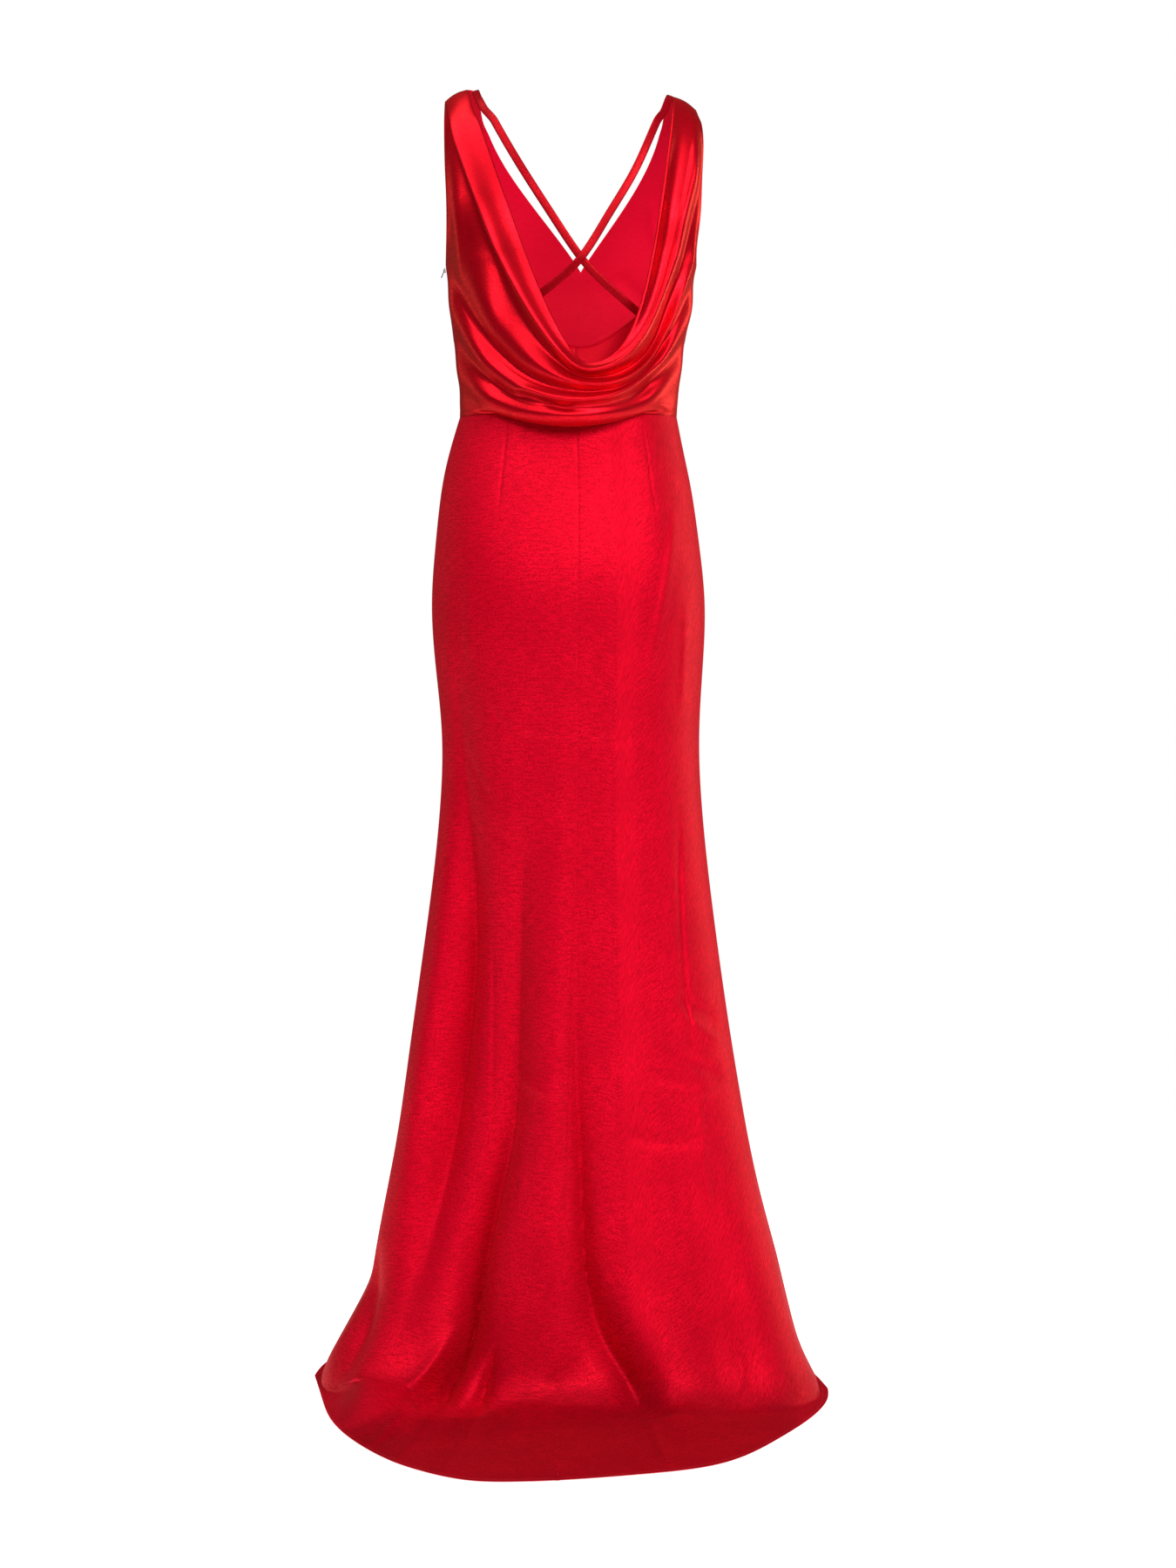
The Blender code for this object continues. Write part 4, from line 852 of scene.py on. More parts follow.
def make_strap(name, stops, over):
    """A flat tube of satin along its stops, lifted where it passes over the other."""
    part = np.linspace(0.0, 1.0, STRAP_STEPS + 1)
    x, height = strap_line(stops, part)
    crossing = np.array(stops[STRAP_CROSSING])
    from_crossing = np.linalg.norm(np.stack([x, height], axis=-1) - crossing, axis=-1)
    hump = np.exp(-(from_crossing / STRAP_CROSS_REACH) ** 2)
    lift = STRAP_OFF_BODY + (STRAP_CROSS_LIFT * hump if over else 0.0)
    lift = lift + (STRAP_END_LIFT - STRAP_OFF_BODY) * ease((part - STRAP_END_FROM) / STRAP_END_FADE)
    lift = lift * ease(part / STRAP_START_FADE)
    place = on_bodice(x, height, -1, lift)
    outwards = unit(on_bodice(x, height, -1, lift + OUTWARDS_STEP) - place)
    place = round_shoulder(place)
    run = unit(np.gradient(place, axis=0))
    across = unit(np.cross(run, outwards))
    round_it = []
    for share, raised in STRAP_SECTION:
        round_it.append(place + across * share * STRAP_WIDTH / 2.0 + outwards * raised * STRAP_THICKNESS)
    return cloth_sheet(name, np.stack(round_it, axis=1), (0.0, 1.0, 0.0), strap_satin, strap_satin,
                       STRAP_CLOTH)


for name, other, stops, over in (("left", "right", LEFT_STRAP, False),
                                 ("right", "left", RIGHT_STRAP, True)):
    strap = make_strap("strap_" + name + "_cloth", stops, over)
    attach(strap, "dress")
    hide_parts("strap_" + name)

# ---- skirt --------------------------------------------------------------------------------------
# Three panels: the front from side seam to side seam, and two backs sewn at the centre.  It is
# close over the hips and flares below the knees; the back panels run out on the floor as a train.

SIDE_SEAM_LAP = 0.3 * MM
FOLD_ROUNDING = 0.15
RING_STEPS = 2000
FLOOR_CLEARANCE = 0.3 * MM
LOWEST_CLOTH = CLOTH + FLOOR_CLEARANCE - SHOULDER_HEIGHT
FOLD_SEAM_FADE = 0.12
FOLD_HEM_FADE = 1.5
SkirtRing = namedtuple("SkirtRing", "height left right centre back front square drawn_left drawn_right")
SKIRT_RINGS = (
    SkirtRing(1.1077, 0.1265, 0.1215, 0.0060, 0.088, 0.092, 2.30, 0.000, 0.000),
    SkirtRing(1.0650, 0.1390, 0.1300, 0.0080, 0.099, 0.098, 2.35, 0.000, 0.000),
    SkirtRing(1.0200, 0.1480, 0.1390, 0.0090, 0.113, 0.102, 2.45, 0.000, 0.000),
    SkirtRing(0.9600, 0.1545, 0.1475, 0.0090, 0.128, 0.106, 2.50, 0.000, 0.000),
    SkirtRing(0.8950, 0.1585, 0.1535, 0.0090, 0.133, 0.107, 2.50, 0.000, 0.000),
    SkirtRing(0.8250, 0.1545, 0.1515, 0.0088, 0.127, 0.105, 2.50, 0.000, 0.000),
    SkirtRing(0.7450, 0.1475, 0.1475, 0.0085, 0.116, 0.103, 2.50, 0.000, 0.000),
    SkirtRing(0.6650, 0.1495, 0.1505, 0.0075, 0.110, 0.104, 2.50, 0.000, 0.000),
    SkirtRing(0.5800, 0.1580, 0.1590, 0.0060, 0.109, 0.109, 2.45, 0.000, 0.000),
    SkirtRing(0.4800, 0.1715, 0.1720, 0.0030, 0.109, 0.119, 2.40, 0.000, 0.002),
    SkirtRing(0.3800, 0.1855, 0.1870, 0.0000, 0.110, 0.132, 2.40, 0.000, 0.005),
    SkirtRing(0.2900, 0.1985, 0.2025, -0.0025, 0.112, 0.146, 2.40, 0.000, 0.010),
    SkirtRing(0.2100, 0.2135, 0.2180, -0.0055, 0.115, 0.159, 2.40, 0.000, 0.016),
    SkirtRing(0.1480, 0.2250, 0.2340, -0.0085, 0.119, 0.170, 2.45, 0.000, 0.022),
    SkirtRing(0.1120, 0.2325, 0.2430, -0.0105, 0.122, 0.176, 2.55, 0.000, 0.026),
    SkirtRing(0.0820, 0.2475, 0.2510, -0.0120, 0.126, 0.182, 2.55, 0.000, 0.030),
    SkirtRing(0.0500, 0.2655, 0.2610, -0.0135, 0.132, 0.189, 2.60, -0.003, 0.034),
    SkirtRing(0.0250, 0.2790, 0.2725, -0.0150, 0.141, 0.197, 2.65, -0.007, 0.037),
    SkirtRing(0.0090, 0.2860, 0.2815, -0.0160, 0.158, 0.204, 2.60, -0.012, 0.039),
)
FLOOR_RING = len(SKIRT_RINGS) - 1
# From the floor ring on the cloth lies on the floor; "part" is its share of the way to the hem.
TrainRing = namedtuple("TrainRing", "height part")
TRAIN_RINGS = (
    TrainRing(0.0025, 0.12),
    TrainRing(0.0010, 0.31),
    TrainRing(0.0009, 0.54),
    TrainRing(0.0009, 0.78),
    TrainRing(0.0009, 1.00),
)
HEM_RING = FLOOR_RING + len(TRAIN_RINGS)
HemStop = namedtuple("HemStop", "across x y")
BACK_HEM = (
    HemStop(-1.00, -0.2966, 0.018),
    HemStop(-0.86, -0.2815, -0.078),
    HemStop(-0.70, -0.2650, -0.173),
    HemStop(-0.53, -0.2360, -0.264),
    HemStop(-0.36, -0.1917, -0.350),
    HemStop(-0.26, -0.1586, -0.392),
    HemStop(-0.16, -0.1040, -0.434),
    HemStop(-0.08, -0.0570, -0.440),
    HemStop(0.00, -0.0110, -0.4345),
    HemStop(0.13, 0.0660, -0.414),
    HemStop(0.26, 0.1310, -0.389),
    HemStop(0.39, 0.1770, -0.349),
    HemStop(0.57, 0.2262, -0.264),
    HemStop(0.75, 0.2670, -0.173),
    HemStop(0.90, 0.2895, -0.093),
    HemStop(1.00, 0.2935, -0.045),
)
FRONT_HEM = (
    HemStop(-1.00, -0.2966, 0.018),
    HemStop(-0.80, -0.2835, 0.098),
    HemStop(-0.60, -0.2410, 0.155),
    HemStop(-0.40, -0.1760, 0.192),
    HemStop(0.00, -0.0040, 0.220),
    HemStop(0.40, 0.1730, 0.185),
    HemStop(0.60, 0.2370, 0.137),
    HemStop(0.80, 0.2750, 0.058),
    HemStop(1.00, 0.2935, -0.045),
)
# The deep folds, each from its first sign downwards, along the hanging cloth and out onto the floor,
# where "height" goes on below zero.  "depth" is negative in a hollow; "left" and "right" say how far
# its flanks reach; "keen" is 1 for a fold with a sharp line and 2 for a soft round one.
FoldStop = namedtuple("FoldStop", "height x depth left right")
SkirtFold = namedtuple("SkirtFold", "name keen stops")
BACK_FOLDS = (
    SkirtFold("ridge beside the centre seam", 1.6, (
        FoldStop(0.96, -0.006, 0.0000, 0.018, 0.010), FoldStop(0.70, -0.010, 0.0030, 0.022, 0.012),
        FoldStop(0.50, -0.014, 0.0065, 0.028, 0.016), FoldStop(0.40, -0.018, 0.0090, 0.030, 0.020),
        FoldStop(0.30, -0.020, 0.0105, 0.030, 0.022), FoldStop(0.20, -0.020, 0.0100, 0.030, 0.024),
        FoldStop(0.12, -0.018, 0.0090, 0.032, 0.024), FoldStop(0.06, -0.020, 0.0085, 0.034, 0.024),
        FoldStop(0.02, -0.038, 0.0060, 0.030, 0.022), FoldStop(-0.03, -0.050, 0.0050, 0.026, 0.020),
        FoldStop(-0.10, -0.060, 0.0000, 0.024, 0.020))),
    SkirtFold("groove right of the centre seam", 1.15, (
        FoldStop(0.62, 0.006, 0.0000, 0.005, 0.010), FoldStop(0.50, 0.006, -0.0040, 0.005, 0.010),
        FoldStop(0.40, 0.006, -0.0075, 0.006, 0.010), FoldStop(0.30, 0.010, -0.0140, 0.007, 0.011),
        FoldStop(0.20, 0.014, -0.0200, 0.008, 0.013), FoldStop(0.12, 0.022, -0.0260, 0.011, 0.016),
        FoldStop(0.06, 0.046, -0.0270, 0.016, 0.019), FoldStop(0.01, 0.082, -0.0240, 0.018, 0.019),
        FoldStop(-0.03, 0.096, 0.0000, 0.018, 0.018))),
    SkirtFold("roll right of that groove", 2.0, (
        FoldStop(0.52, 0.030, 0.0000, 0.016, 0.024), FoldStop(0.30, 0.036, 0.0040, 0.018, 0.028),
        FoldStop(0.12, 0.058, 0.0070, 0.022, 0.034), FoldStop(0.03, 0.110, 0.0080, 0.024, 0.044),
        FoldStop(-0.04, 0.120, 0.0060, 0.024, 0.036), FoldStop(-0.12, 0.122, 0.0000, 0.020, 0.030))),
    SkirtFold("groove towards the left", 1.05, (
        FoldStop(0.66, -0.052, 0.0000, 0.050, 0.018), FoldStop(0.42, -0.061, -0.0255, 0.048, 0.014),
        FoldStop(0.30, -0.068, -0.0360, 0.042, 0.012), FoldStop(0.20, -0.093, -0.0470, 0.028, 0.014),
        FoldStop(0.120, -0.110, -0.0520, 0.018, 0.018), FoldStop(0.045, -0.131, -0.0500, 0.011, 0.019),
        FoldStop(0.006, -0.156, -0.0320, 0.012, 0.019), FoldStop(-0.03, -0.166, 0.0000, 0.012, 0.018))),
    SkirtFold("line that falls towards the left", 1.2, (
        FoldStop(0.84, -0.128, 0.0000, 0.014, 0.040), FoldStop(0.66, -0.128, -0.0090, 0.014, 0.040),
        FoldStop(0.50, -0.133, -0.0220, 0.013, 0.038), FoldStop(0.40, -0.142, -0.0260, 0.013, 0.040),
        FoldStop(0.30, -0.152, -0.0230, 0.015, 0.042), FoldStop(0.20, -0.164, -0.0120, 0.018, 0.040),
        FoldStop(0.10, -0.176, 0.0000, 0.020, 0.036))),
    SkirtFold("curl at the foot of the groove", 1.3, (
        FoldStop(0.095, -0.128, 0.0000, 0.010, 0.008), FoldStop(0.050, -0.150, 0.0120, 0.011, 0.007),
        FoldStop(0.015, -0.172, 0.0160, 0.012, 0.007), FoldStop(-0.012, -0.186, 0.0060, 0.012, 0.008),
        FoldStop(-0.030, -0.194, 0.0000, 0.012, 0.010))),
    SkirtFold("short pinch at the break", 1.2, (
        FoldStop(0.070, -0.084, 0.0000, 0.006, 0.012), FoldStop(0.030, -0.096, -0.0200, 0.008, 0.012),
        FoldStop(0.006, -0.108, -0.0240, 0.008, 0.011), FoldStop(-0.025, -0.114, 0.0000, 0.008, 0.010))),
    SkirtFold("hollow inside the left side seam", 1.5, (
        FoldStop(0.90, -0.128, 0.0000, 0.010, 0.024), FoldStop(0.76, -0.128, -0.0050, 0.010, 0.026),
        FoldStop(0.60, -0.126, -0.0110, 0.011, 0.027), FoldStop(0.50, -0.131, -0.0170, 0.011, 0.029),
        FoldStop(0.40, -0.146, -0.0190, 0.012, 0.031), FoldStop(0.30, -0.157, -0.0180, 0.012, 0.033),
        FoldStop(0.20, -0.170, -0.0130, 0.013, 0.036), FoldStop(0.12, -0.182, -0.0050, 0.014, 0.036),
        FoldStop(0.06, -0.188, 0.0000, 0.015, 0.030))),
    SkirtFold("flute along the left side seam", 2.0, (
        FoldStop(0.66, -0.148, 0.0000, 0.010, 0.010), FoldStop(0.50, -0.154, 0.0035, 0.010, 0.010),
        FoldStop(0.40, -0.168, 0.0050, 0.011, 0.011), FoldStop(0.30, -0.182, 0.0045, 0.012, 0.012),
        FoldStop(0.17, -0.198, 0.0000, 0.014, 0.014))),
    SkirtFold("hollow behind the left flare", 1.3, (
        FoldStop(0.170, -0.222, 0.0000, 0.008, 0.012), FoldStop(0.110, -0.230, -0.0110, 0.009, 0.014),
        FoldStop(0.070, -0.236, -0.0150, 0.010, 0.015), FoldStop(0.040, -0.240, -0.0070, 0.010, 0.016),
        FoldStop(0.015, -0.243, 0.0000, 0.010, 0.016))),
    SkirtFold("left flare", 2.0, (
        FoldStop(0.100, -0.246, 0.0000, 0.012, 0.014), FoldStop(0.060, -0.256, 0.0030, 0.014, 0.015),
        FoldStop(0.020, -0.264, 0.0050, 0.016, 0.020), FoldStop(-0.020, -0.268, 0.0000, 0.018, 0.020))),
    SkirtFold("sloping cloth at the left", 2.0, (
        FoldStop(0.110, -0.218, 0.0000, 0.026, 0.036), FoldStop(0.040, -0.218, 0.0190, 0.028, 0.044),
        FoldStop(0.000, -0.222, 0.0330, 0.028, 0.052), FoldStop(-0.035, -0.222, 0.0270, 0.030, 0.052),
        FoldStop(-0.080, -0.220, 0.0080, 0.034, 0.046), FoldStop(-0.120, -0.218, 0.0000, 0.036, 0.040))),
    SkirtFold("soft hollow towards the right", 2.0, (
        FoldStop(0.300, 0.150, 0.0000, 0.030, 0.036), FoldStop(0.150, 0.158, -0.0060, 0.036, 0.034),
        FoldStop(0.030, 0.176, -0.0110, 0.036, 0.030), FoldStop(-0.030, 0.186, 0.0000, 0.030, 0.030))),
)
FRONT_FOLDS = (
    SkirtFold("flute under the left hip", 2.0, (
        FoldStop(0.62, -0.098, 0.0000, 0.040, 0.040), FoldStop(0.30, -0.130, 0.0090, 0.044, 0.044),
        FoldStop(0.02, -0.176, 0.0150, 0.050, 0.046), FoldStop(-0.02, -0.180, 0.0080, 0.050, 0.046))),
    SkirtFold("hollow beside it", 1.5, (
        FoldStop(0.56, -0.040, 0.0000, 0.026, 0.030), FoldStop(0.28, -0.056, -0.0090, 0.028, 0.034),
        FoldStop(0.02, -0.078, -0.0150, 0.030, 0.038), FoldStop(-0.02, -0.080, -0.0060, 0.030, 0.038))),
    SkirtFold("flute at the centre", 2.0, (
        FoldStop(0.52, 0.010, 0.0000, 0.034, 0.036), FoldStop(0.26, 0.014, 0.0090, 0.038, 0.040),
        FoldStop(0.02, 0.022, 0.0130, 0.044, 0.046), FoldStop(-0.02, 0.022, 0.0060, 0.044, 0.046))),
    SkirtFold("hollow right of the centre", 1.5, (
        FoldStop(0.56, 0.070, 0.0000, 0.030, 0.026), FoldStop(0.28, 0.088, -0.0090, 0.034, 0.028),
        FoldStop(0.02, 0.124, -0.0150, 0.038, 0.030), FoldStop(-0.02, 0.126, -0.0060, 0.038, 0.030))),
    SkirtFold("flute under the right hip", 2.0, (
        FoldStop(0.62, 0.116, 0.0000, 0.040, 0.040), FoldStop(0.30, 0.150, 0.0090, 0.044, 0.044),
        FoldStop(0.02, 0.200, 0.0150, 0.046, 0.050), FoldStop(-0.02, 0.204, 0.0080, 0.046, 0.050))),
)

# The skirt's satin is heavier and less glossy: a fine grain, a broad sheen and no sharp glints.
skirt_satin = red_satin("satin_of_the_skirt", "B2001D", "E60428", 0.46, 0.55, 0.18, 0.6, 0.35)


def ring_height(number):
    """Height above the floor of a ring of the skirt, counted from the waist."""
    hanging = through(np.arange(FLOOR_RING + 1), [ring.height for ring in SKIRT_RINGS], number)
    heights = [SKIRT_RINGS[-1].height] + [ring.height for ring in TRAIN_RINGS]
    lying = through(np.arange(FLOOR_RING, HEM_RING + 1), heights, number)
    return np.where(number <= FLOOR_RING, hanging, lying)


def skirt_surface(across, number, face):
    """Places on the unfolded skirt, at ring numbers counted from the waist."""
    ring = read_table(SKIRT_RINGS, np.arange(FLOOR_RING + 1), number)
    swing = np.sin(math.pi / 2.0 * across)
    right = across > 0
    x = swing * np.where(right, ring["right"], ring["left"]) + ring["centre"] * (1.0 - np.abs(swing))
    depth = ring["front"] if face > 0 else ring["back"]
    reach = np.maximum(0.0, 1.0 - np.abs(swing) ** ring["square"]) ** (1.0 / ring["square"])
    y = face * depth * reach - np.where(right, ring["drawn_right"], ring["drawn_left"]) * swing * swing
    stops = FRONT_HEM if face > 0 else BACK_HEM
    hem = read_table(stops, [stop.across for stop in stops], across)
    part = through(np.arange(FLOOR_RING, HEM_RING + 1), [0.0] + [row.part for row in TRAIN_RINGS], number)
    part = np.where(number > FLOOR_RING, part, 0.0)
    x = x + (hem["x"] - x) * part
    y = y + (hem["y"] - y) * part
    y = y - face * SIDE_SEAM_LAP / 2.0
    height = ring_height(number) + 0.0 * across
    return np.stack(np.broadcast_arrays(x, y, height - SHOULDER_HEIGHT), axis=-1)


def fold_lift(folds, x, height):
    """How far the folds move the cloth outwards, or upwards where it lies on the floor."""
    total = 0.0
    for fold in folds:
        at = read_table(fold.stops, [-stop.height for stop in fold.stops], -height)
        reach = np.where(x < at["x"], at["left"], at["right"])
        away = ((x - at["x"]) / reach) ** 2 + FOLD_ROUNDING ** 2
        total = total + at["depth"] * np.exp(FOLD_ROUNDING ** fold.keen - away ** (fold.keen / 2.0))
    return total


def even_rings(face, count):
    """Ring numbers that lie evenly along the middle of a panel, from the waist to the hem."""
    fine = np.linspace(0.0, HEM_RING, RING_STEPS + 1)
    middle = skirt_surface(np.array(0.0), fine, face)
    lengths = np.linalg.norm(np.diff(middle, axis=0, prepend=middle[:1]), axis=-1).cumsum()
    return np.interp(np.linspace(0.0, lengths[-1], count + 1), lengths, fine)


def skirt_places(folds, creases, across, number, face):
    """Places on the folded and creased skirt, never below the floor.

    On the floor the height goes on below zero, by the distance out from where the cloth comes down.
    """
    base = skirt_surface(across, number, face)
    normals = facing_out(base, (0.0, face, 0.0))
    at_seam = ease((1.0 - np.abs(across)) / FOLD_SEAM_FADE)
    floor_line = skirt_surface(across, np.array(float(FLOOR_RING)), face)
    outwards = np.hypot(base[..., 0] - floor_line[..., 0], base[..., 1] - floor_line[..., 1])
    height = np.where(number > FLOOR_RING, floor_line[..., 2] + SHOULDER_HEIGHT - outwards,
                      base[..., 2] + SHOULDER_HEIGHT)
    lift = fold_lift(folds, base[..., 0], height) * at_seam * ease((HEM_RING - number) / FOLD_HEM_FADE)
    places = base + normals * lift[..., None]
    lift = crease_lift(base[..., 0], height, creases)
    places = places + facing_out(places, (0.0, face, 0.0)) * (lift * at_seam)[..., None]
    places[..., 2] = np.maximum(places[..., 2], LOWEST_CLOTH)
    return places


HEM_DEPTH = 8.5 * MM
HEM_STITCHING = 7.0 * MM
HEM_THICKNESS = 0.7 * MM
SEAM_DIP = 0.6 * MM
SEAM_SOFTNESS = 1.6 * MM
SIDE_SOFTNESS = 2.6 * MM
CENTRE_ALLOWANCE = 2.0 * MM
STITCH_PITCH = 4.0 * MM
STITCH_SIZE = (1.5 * MM, 0.35 * MM, 0.25 * MM)


def from_hem(places):
    """How far each place lies from the hem, measured along its own column."""
    return np.linalg.norm(np.diff(places[::-1], axis=0, prepend=places[-1:]), axis=-1).cumsum(axis=0)[::-1]


def with_hem(places, face):
    """Thickens the cloth along the hem, where its edge is turned up twice."""
    fold = HEM_THICKNESS * ease((HEM_DEPTH - from_hem(places)) / EDGE_SOFTNESS)
    return places + facing_out(places, (0.0, face, 0.0)) * fold[..., None]


def sewn_in(places, face, seams):
    """Sinks the cloth a little along its seams; each is a column of places and a softness."""
    normals = facing_out(places, (0.0, face, 0.0))
    sunk = 0.0
    for column, softness in seams:
        from_seam = np.linalg.norm(places - places[:, column][:, None], axis=-1)
        sunk = sunk + SEAM_DIP * np.exp(-(from_seam / softness) ** 2)
    return places - normals * sunk[..., None]


def hem_line(places):
    """The line of stitching, a little below the upper edge of the turned hem."""
    inset = from_hem(places)
    return np.array([[np.interp(HEM_STITCHING, inset[::-1, k], places[::-1, k, axis])
                      for axis in range(3)] for k in range(places.shape[1])])


hem_lines = {}

FRONT_SKIRT_COLUMNS = 150
FRONT_SKIRT_ROWS = 220
# The columns crowd towards the side seams, by this share of a quarter turn.
SIDE_CROWDING = 0.9
SKIRT_FRONT_CREASES = (
    Crease(1.6 * MM, 12.0 * MM, 7.0 * MM,
           ((-0.050, 0.640), (-0.058, 0.420), (-0.070, 0.180), (-0.080, 0.050))),
    Crease(-1.6 * MM, 7.0 * MM, 12.0 * MM,
           ((0.072, 0.560), (0.082, 0.360), (0.096, 0.120), (0.104, 0.040))),
    Crease(-1.2 * MM, 9.0 * MM, 9.0 * MM, ((-0.128, 1.010), (-0.090, 0.965), (-0.040, 0.950))),
    Crease(-1.2 * MM, 9.0 * MM, 9.0 * MM, ((0.128, 1.000), (0.095, 0.958), (0.048, 0.944))),
    Crease(1.0 * MM, 7.0 * MM, 12.0 * MM, ((-0.110, 0.860), (-0.070, 0.780), (-0.062, 0.690))),
    Crease(1.0 * MM, 12.0 * MM, 7.0 * MM, ((0.112, 0.850), (0.078, 0.770), (0.070, 0.690))),
)
number = even_rings(1, FRONT_SKIRT_ROWS)[:, None]
crowded = np.linspace(-1.0, 1.0, FRONT_SKIRT_COLUMNS + 1) * math.pi / 2.0 * SIDE_CROWDING
across = np.sin(crowded) / math.sin(math.pi / 2.0 * SIDE_CROWDING)
places = with_hem(skirt_places(FRONT_FOLDS, SKIRT_FRONT_CREASES, across[None, :], number, 1), 1)
hem_lines["skirt_front"] = hem_line(places)
places = sewn_in(places, 1.0, ((0, SIDE_SOFTNESS), (-1, SIDE_SOFTNESS)))
places[..., 2] = np.maximum(places[..., 2], LOWEST_CLOTH)
skirt_front = cloth_sheet("skirt_front_cloth", places, (0.0, 1.0, 0.0), skirt_satin, wrong_side)
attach(skirt_front, "dress")
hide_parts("skirt_front")

BACK_SKIRT_COLUMNS = 150
BACK_SKIRT_ROWS = 300
# The first columns beside the centre seam stand close together, and the others follow evenly.
SEAM_COLUMNS = (0.0, 0.003, 0.007, 0.013)
EVEN_COLUMNS_FROM = 0.02
SKIRT_BACK_CREASES = (
    # long press creases towards the right side
    Crease(-2.0 * MM, 2.0 * MM, 6.0 * MM, ((0.122, 0.690), (0.127, 0.540), (0.134, 0.440), (0.142, 0.370))),
    Crease(1.7 * MM, 6.0 * MM, 2.0 * MM, ((0.142, 0.350), (0.152, 0.250), (0.158, 0.210))),
    # and towards the left
    Crease(-2.0 * MM, 6.0 * MM, 2.0 * MM, ((-0.097, 0.540), (-0.095, 0.400), (-0.096, 0.250))),
    # creases across the knees
    Crease(-1.9 * MM, 3.0 * MM, 6.0 * MM, ((0.018, 0.742), (0.050, 0.744), (0.084, 0.749))),
    Crease(-1.4 * MM, 3.0 * MM, 6.0 * MM, ((-0.066, 0.748), (-0.035, 0.744), (-0.002, 0.743))),
    # drags from the hips
    Crease(1.5 * MM, 8.0 * MM, 4.0 * MM, ((0.116, 1.015), (0.110, 0.945), (0.092, 0.850), (0.082, 0.800))),
    Crease(1.3 * MM, 6.0 * MM, 4.0 * MM, ((0.130, 0.905), (0.127, 0.830), (0.124, 0.765))),
    Crease(-1.4 * MM, 6.0 * MM, 9.0 * MM, ((-0.120, 0.940), (-0.124, 0.860), (-0.112, 0.805))),
    Crease(-1.2 * MM, 4.0 * MM, 4.0 * MM, ((-0.092, 0.780), (-0.070, 0.750))),
    Crease(-1.4 * MM, 5.0 * MM, 5.0 * MM, ((-0.126, 0.730), (-0.112, 0.705), (-0.086, 0.665))),
    Crease(-1.0 * MM, 4.0 * MM, 4.0 * MM, ((-0.098, 0.644), (-0.074, 0.630), (-0.054, 0.620))),
    # small wrinkles that fan out below the right knee
    Crease(-3.2 * MM, 4.5 * MM, 9.0 * MM, ((0.118, 0.460), (0.146, 0.440), (0.172, 0.422))),
    Crease(2.8 * MM, 4.5 * MM, 9.0 * MM, ((0.120, 0.436), (0.150, 0.414), (0.178, 0.392))),
    Crease(-3.4 * MM, 5.0 * MM, 9.0 * MM, ((0.100, 0.408), (0.140, 0.382), (0.178, 0.360))),
    Crease(3.0 * MM, 8.0 * MM, 5.0 * MM, ((0.080, 0.358), (0.126, 0.345), (0.172, 0.348))),
    Crease(-3.0 * MM, 5.0 * MM, 9.0 * MM, ((0.054, 0.308), (0.108, 0.294), (0.160, 0.300))),
    Crease(2.4 * MM, 6.0 * MM, 6.0 * MM, ((-0.066, 0.372), (-0.034, 0.352), (-0.004, 0.356))),
    # creases low down at the right, and two that cross the train
    Crease(-1.2 * MM, 3.0 * MM, 4.0 * MM, ((0.196, 0.060), (0.194, 0.034), (0.190, 0.016))),
    Crease(2.4 * MM, 4.0 * MM, 8.0 * MM, ((-0.168, 0.004), (-0.190, -0.080), (-0.212, -0.160))),
    Crease(2.2 * MM, 8.0 * MM, 4.0 * MM, ((0.083, -0.004), (0.093, -0.110), (0.103, -0.230))),
    # darts
    Crease(-0.9 * MM, 1.5 * MM, 1.5 * MM,
           ((-0.0700, 1.102), (-0.0735, 1.066), (-0.0765, 1.036), (-0.0815, 0.985))),
    Crease(-0.6 * MM, 1.6 * MM, 1.6 * MM,
           ((0.0815, 1.095), (0.0870, 1.060), (0.0915, 1.025), (0.1000, 0.980))),
)


def skirt_back(name, side):
    """One back panel, from the centre seam to its side seam, with its half of the train."""
    number = even_rings(-1, BACK_SKIRT_ROWS)[:, None]
    even_columns = np.linspace(EVEN_COLUMNS_FROM, 1.0, BACK_SKIRT_COLUMNS + 1 - len(SEAM_COLUMNS))
    part = np.concatenate([SEAM_COLUMNS, even_columns])
    places = with_hem(skirt_places(BACK_FOLDS, SKIRT_BACK_CREASES, side * part[None, :], number, -1), -1)
    hem_lines[name] = hem_line(places[:, 1:])
    normals = facing_out(places, (0.0, -1.0, 0.0))
    places = sewn_in(places, -1.0, ((0, SEAM_SOFTNESS), (-1, SIDE_SOFTNESS)))
    places = turned_in(places, normals, "first", CENTRE_ALLOWANCE)
    places[..., 2] = np.maximum(places[..., 2], LOWEST_CLOTH)
    return cloth_sheet(name + "_cloth", places, (0.0, -1.0, 0.0), skirt_satin, wrong_side)


for name, side in (("left", -1), ("right", 1)):
    panel = skirt_back("skirt_back_" + name, side)
    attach(panel, "dress")
    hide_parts("skirt_back_" + name)

# The hem's stitches, in spun polyester thread of the satin's red: it is matt beside the satin, so that
# each stitch is a small dull fleck.
thread = bpy.data.materials.new("spun_polyester_thread")
thread.use_nodes = True
thread_tree = thread.node_tree
thread_shader = thread_tree.nodes["Principled BSDF"]
thread_place = add_node(thread_tree, "ShaderNodeTexCoord")
thread_twist = add_node(thread_tree, "ShaderNodeTexNoise", {"Scale": 3000.0, "Detail": 1.0},
                        {"Vector": thread_place.outputs["Object"]})
thread_tone = add_node(thread_tree, "ShaderNodeMix",
                       {"data_type": "RGBA", 6: linear("96001A"), 7: linear("C40822")},
                       {"Factor": thread_twist.outputs["Fac"]})
thread_tree.links.new(thread_tone.outputs[2], thread_shader.inputs["Base Color"])
thread_shader.inputs["Roughness"].default_value = 0.8
bpy.ops.mesh.primitive_uv_sphere_add(segments=6, ring_count=4, radius=1.0)
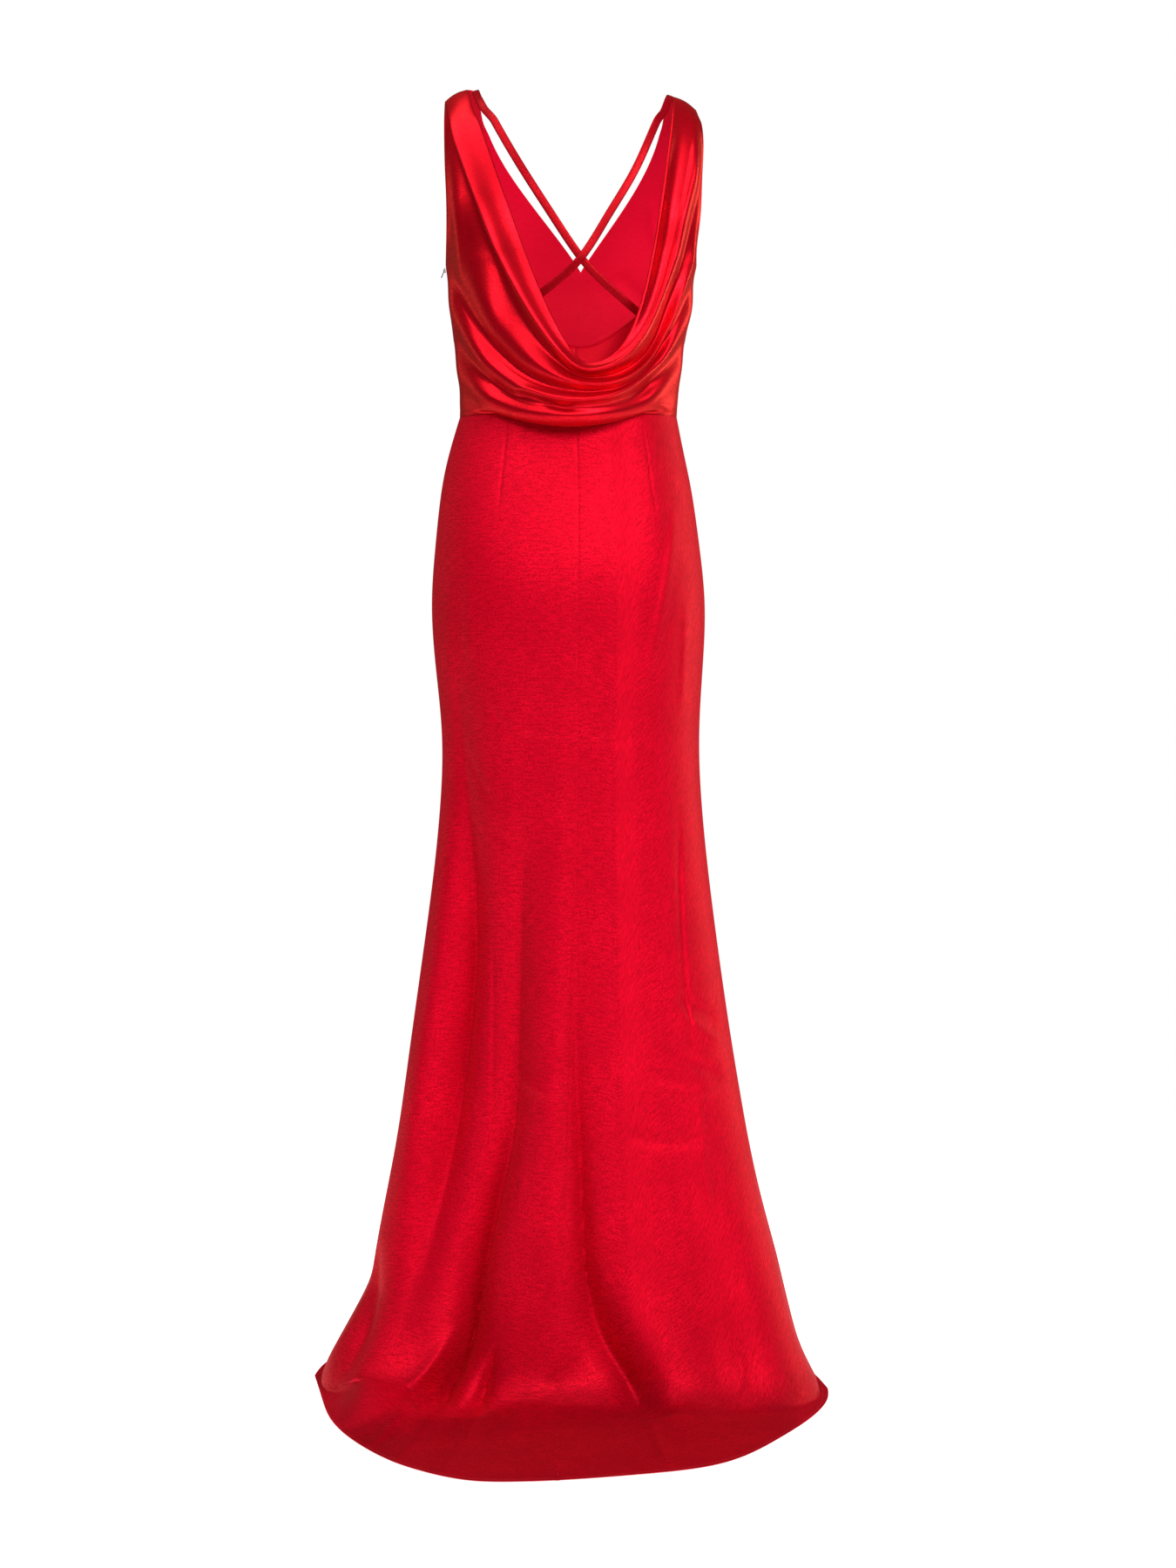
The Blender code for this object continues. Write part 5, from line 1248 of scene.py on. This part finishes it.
stitch = bpy.context.object
stitch.data.materials.append(thread)
stitch.scale = STITCH_SIZE
bpy.ops.object.transform_apply(scale=True)
for name, line in hem_lines.items():
    run = np.linalg.norm(np.diff(line, axis=0, prepend=line[:1]), axis=-1).cumsum()
    steps = np.arange(STITCH_PITCH, run[-1] - STITCH_PITCH, STITCH_PITCH)
    spots = np.stack([np.interp(steps, run, line[:, axis]) for axis in range(3)], axis=-1)
    ahead = unit(np.gradient(spots, axis=0))
    bpy.ops.object.select_all(action="DESELECT")
    for spot, way in zip(spots, ahead):
        copy = stitch.copy()
        copy.data = stitch.data.copy()
        copy.location = spot
        copy.rotation_euler = (0.0, -math.asin(way[2]), math.atan2(way[1], way[0]))
        bpy.context.collection.objects.link(copy)
        copy.select_set(True)
    bpy.context.view_layer.objects.active = copy
    bpy.ops.object.join()
    seam = bpy.context.object
    seam.name = seam.data.name = name + "_hem_stitches"
    bpy.ops.object.transform_apply(location=True, rotation=True, scale=True)
    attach(seam, "dress")
bpy.data.objects.remove(stitch)

# ---- zip ----------------------------------------------------------------------------------------
# The slider and the small pull of the left side seam's zip, cast in zinc.  The plating is a dark
# bronze that has worn unevenly, so that it looks almost black with a warm, dull shine.

zip_bronze = bpy.data.materials.new("worn_bronze_plating")
zip_bronze.use_nodes = True
zip_tree = zip_bronze.node_tree
zip_shader = zip_tree.nodes["Principled BSDF"]
zip_place = add_node(zip_tree, "ShaderNodeTexCoord")
zip_wear = add_node(zip_tree, "ShaderNodeTexNoise", {"Scale": 900.0, "Detail": 3.0},
                    {"Vector": zip_place.outputs["Object"]})
zip_tone = add_node(zip_tree, "ShaderNodeMix",
                    {"data_type": "RGBA", 6: linear("180A08"), 7: linear("3A221C")},
                    {"Factor": zip_wear.outputs["Fac"]})
zip_tree.links.new(zip_tone.outputs[2], zip_shader.inputs["Base Color"])
zip_shader.inputs["Metallic"].default_value = 0.5
zip_shader.inputs["Roughness"].default_value = 0.45
for name in ("zip_slider", "zip_pull"):
    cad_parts[name].data.materials.clear()
    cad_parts[name].data.materials.append(zip_bronze)
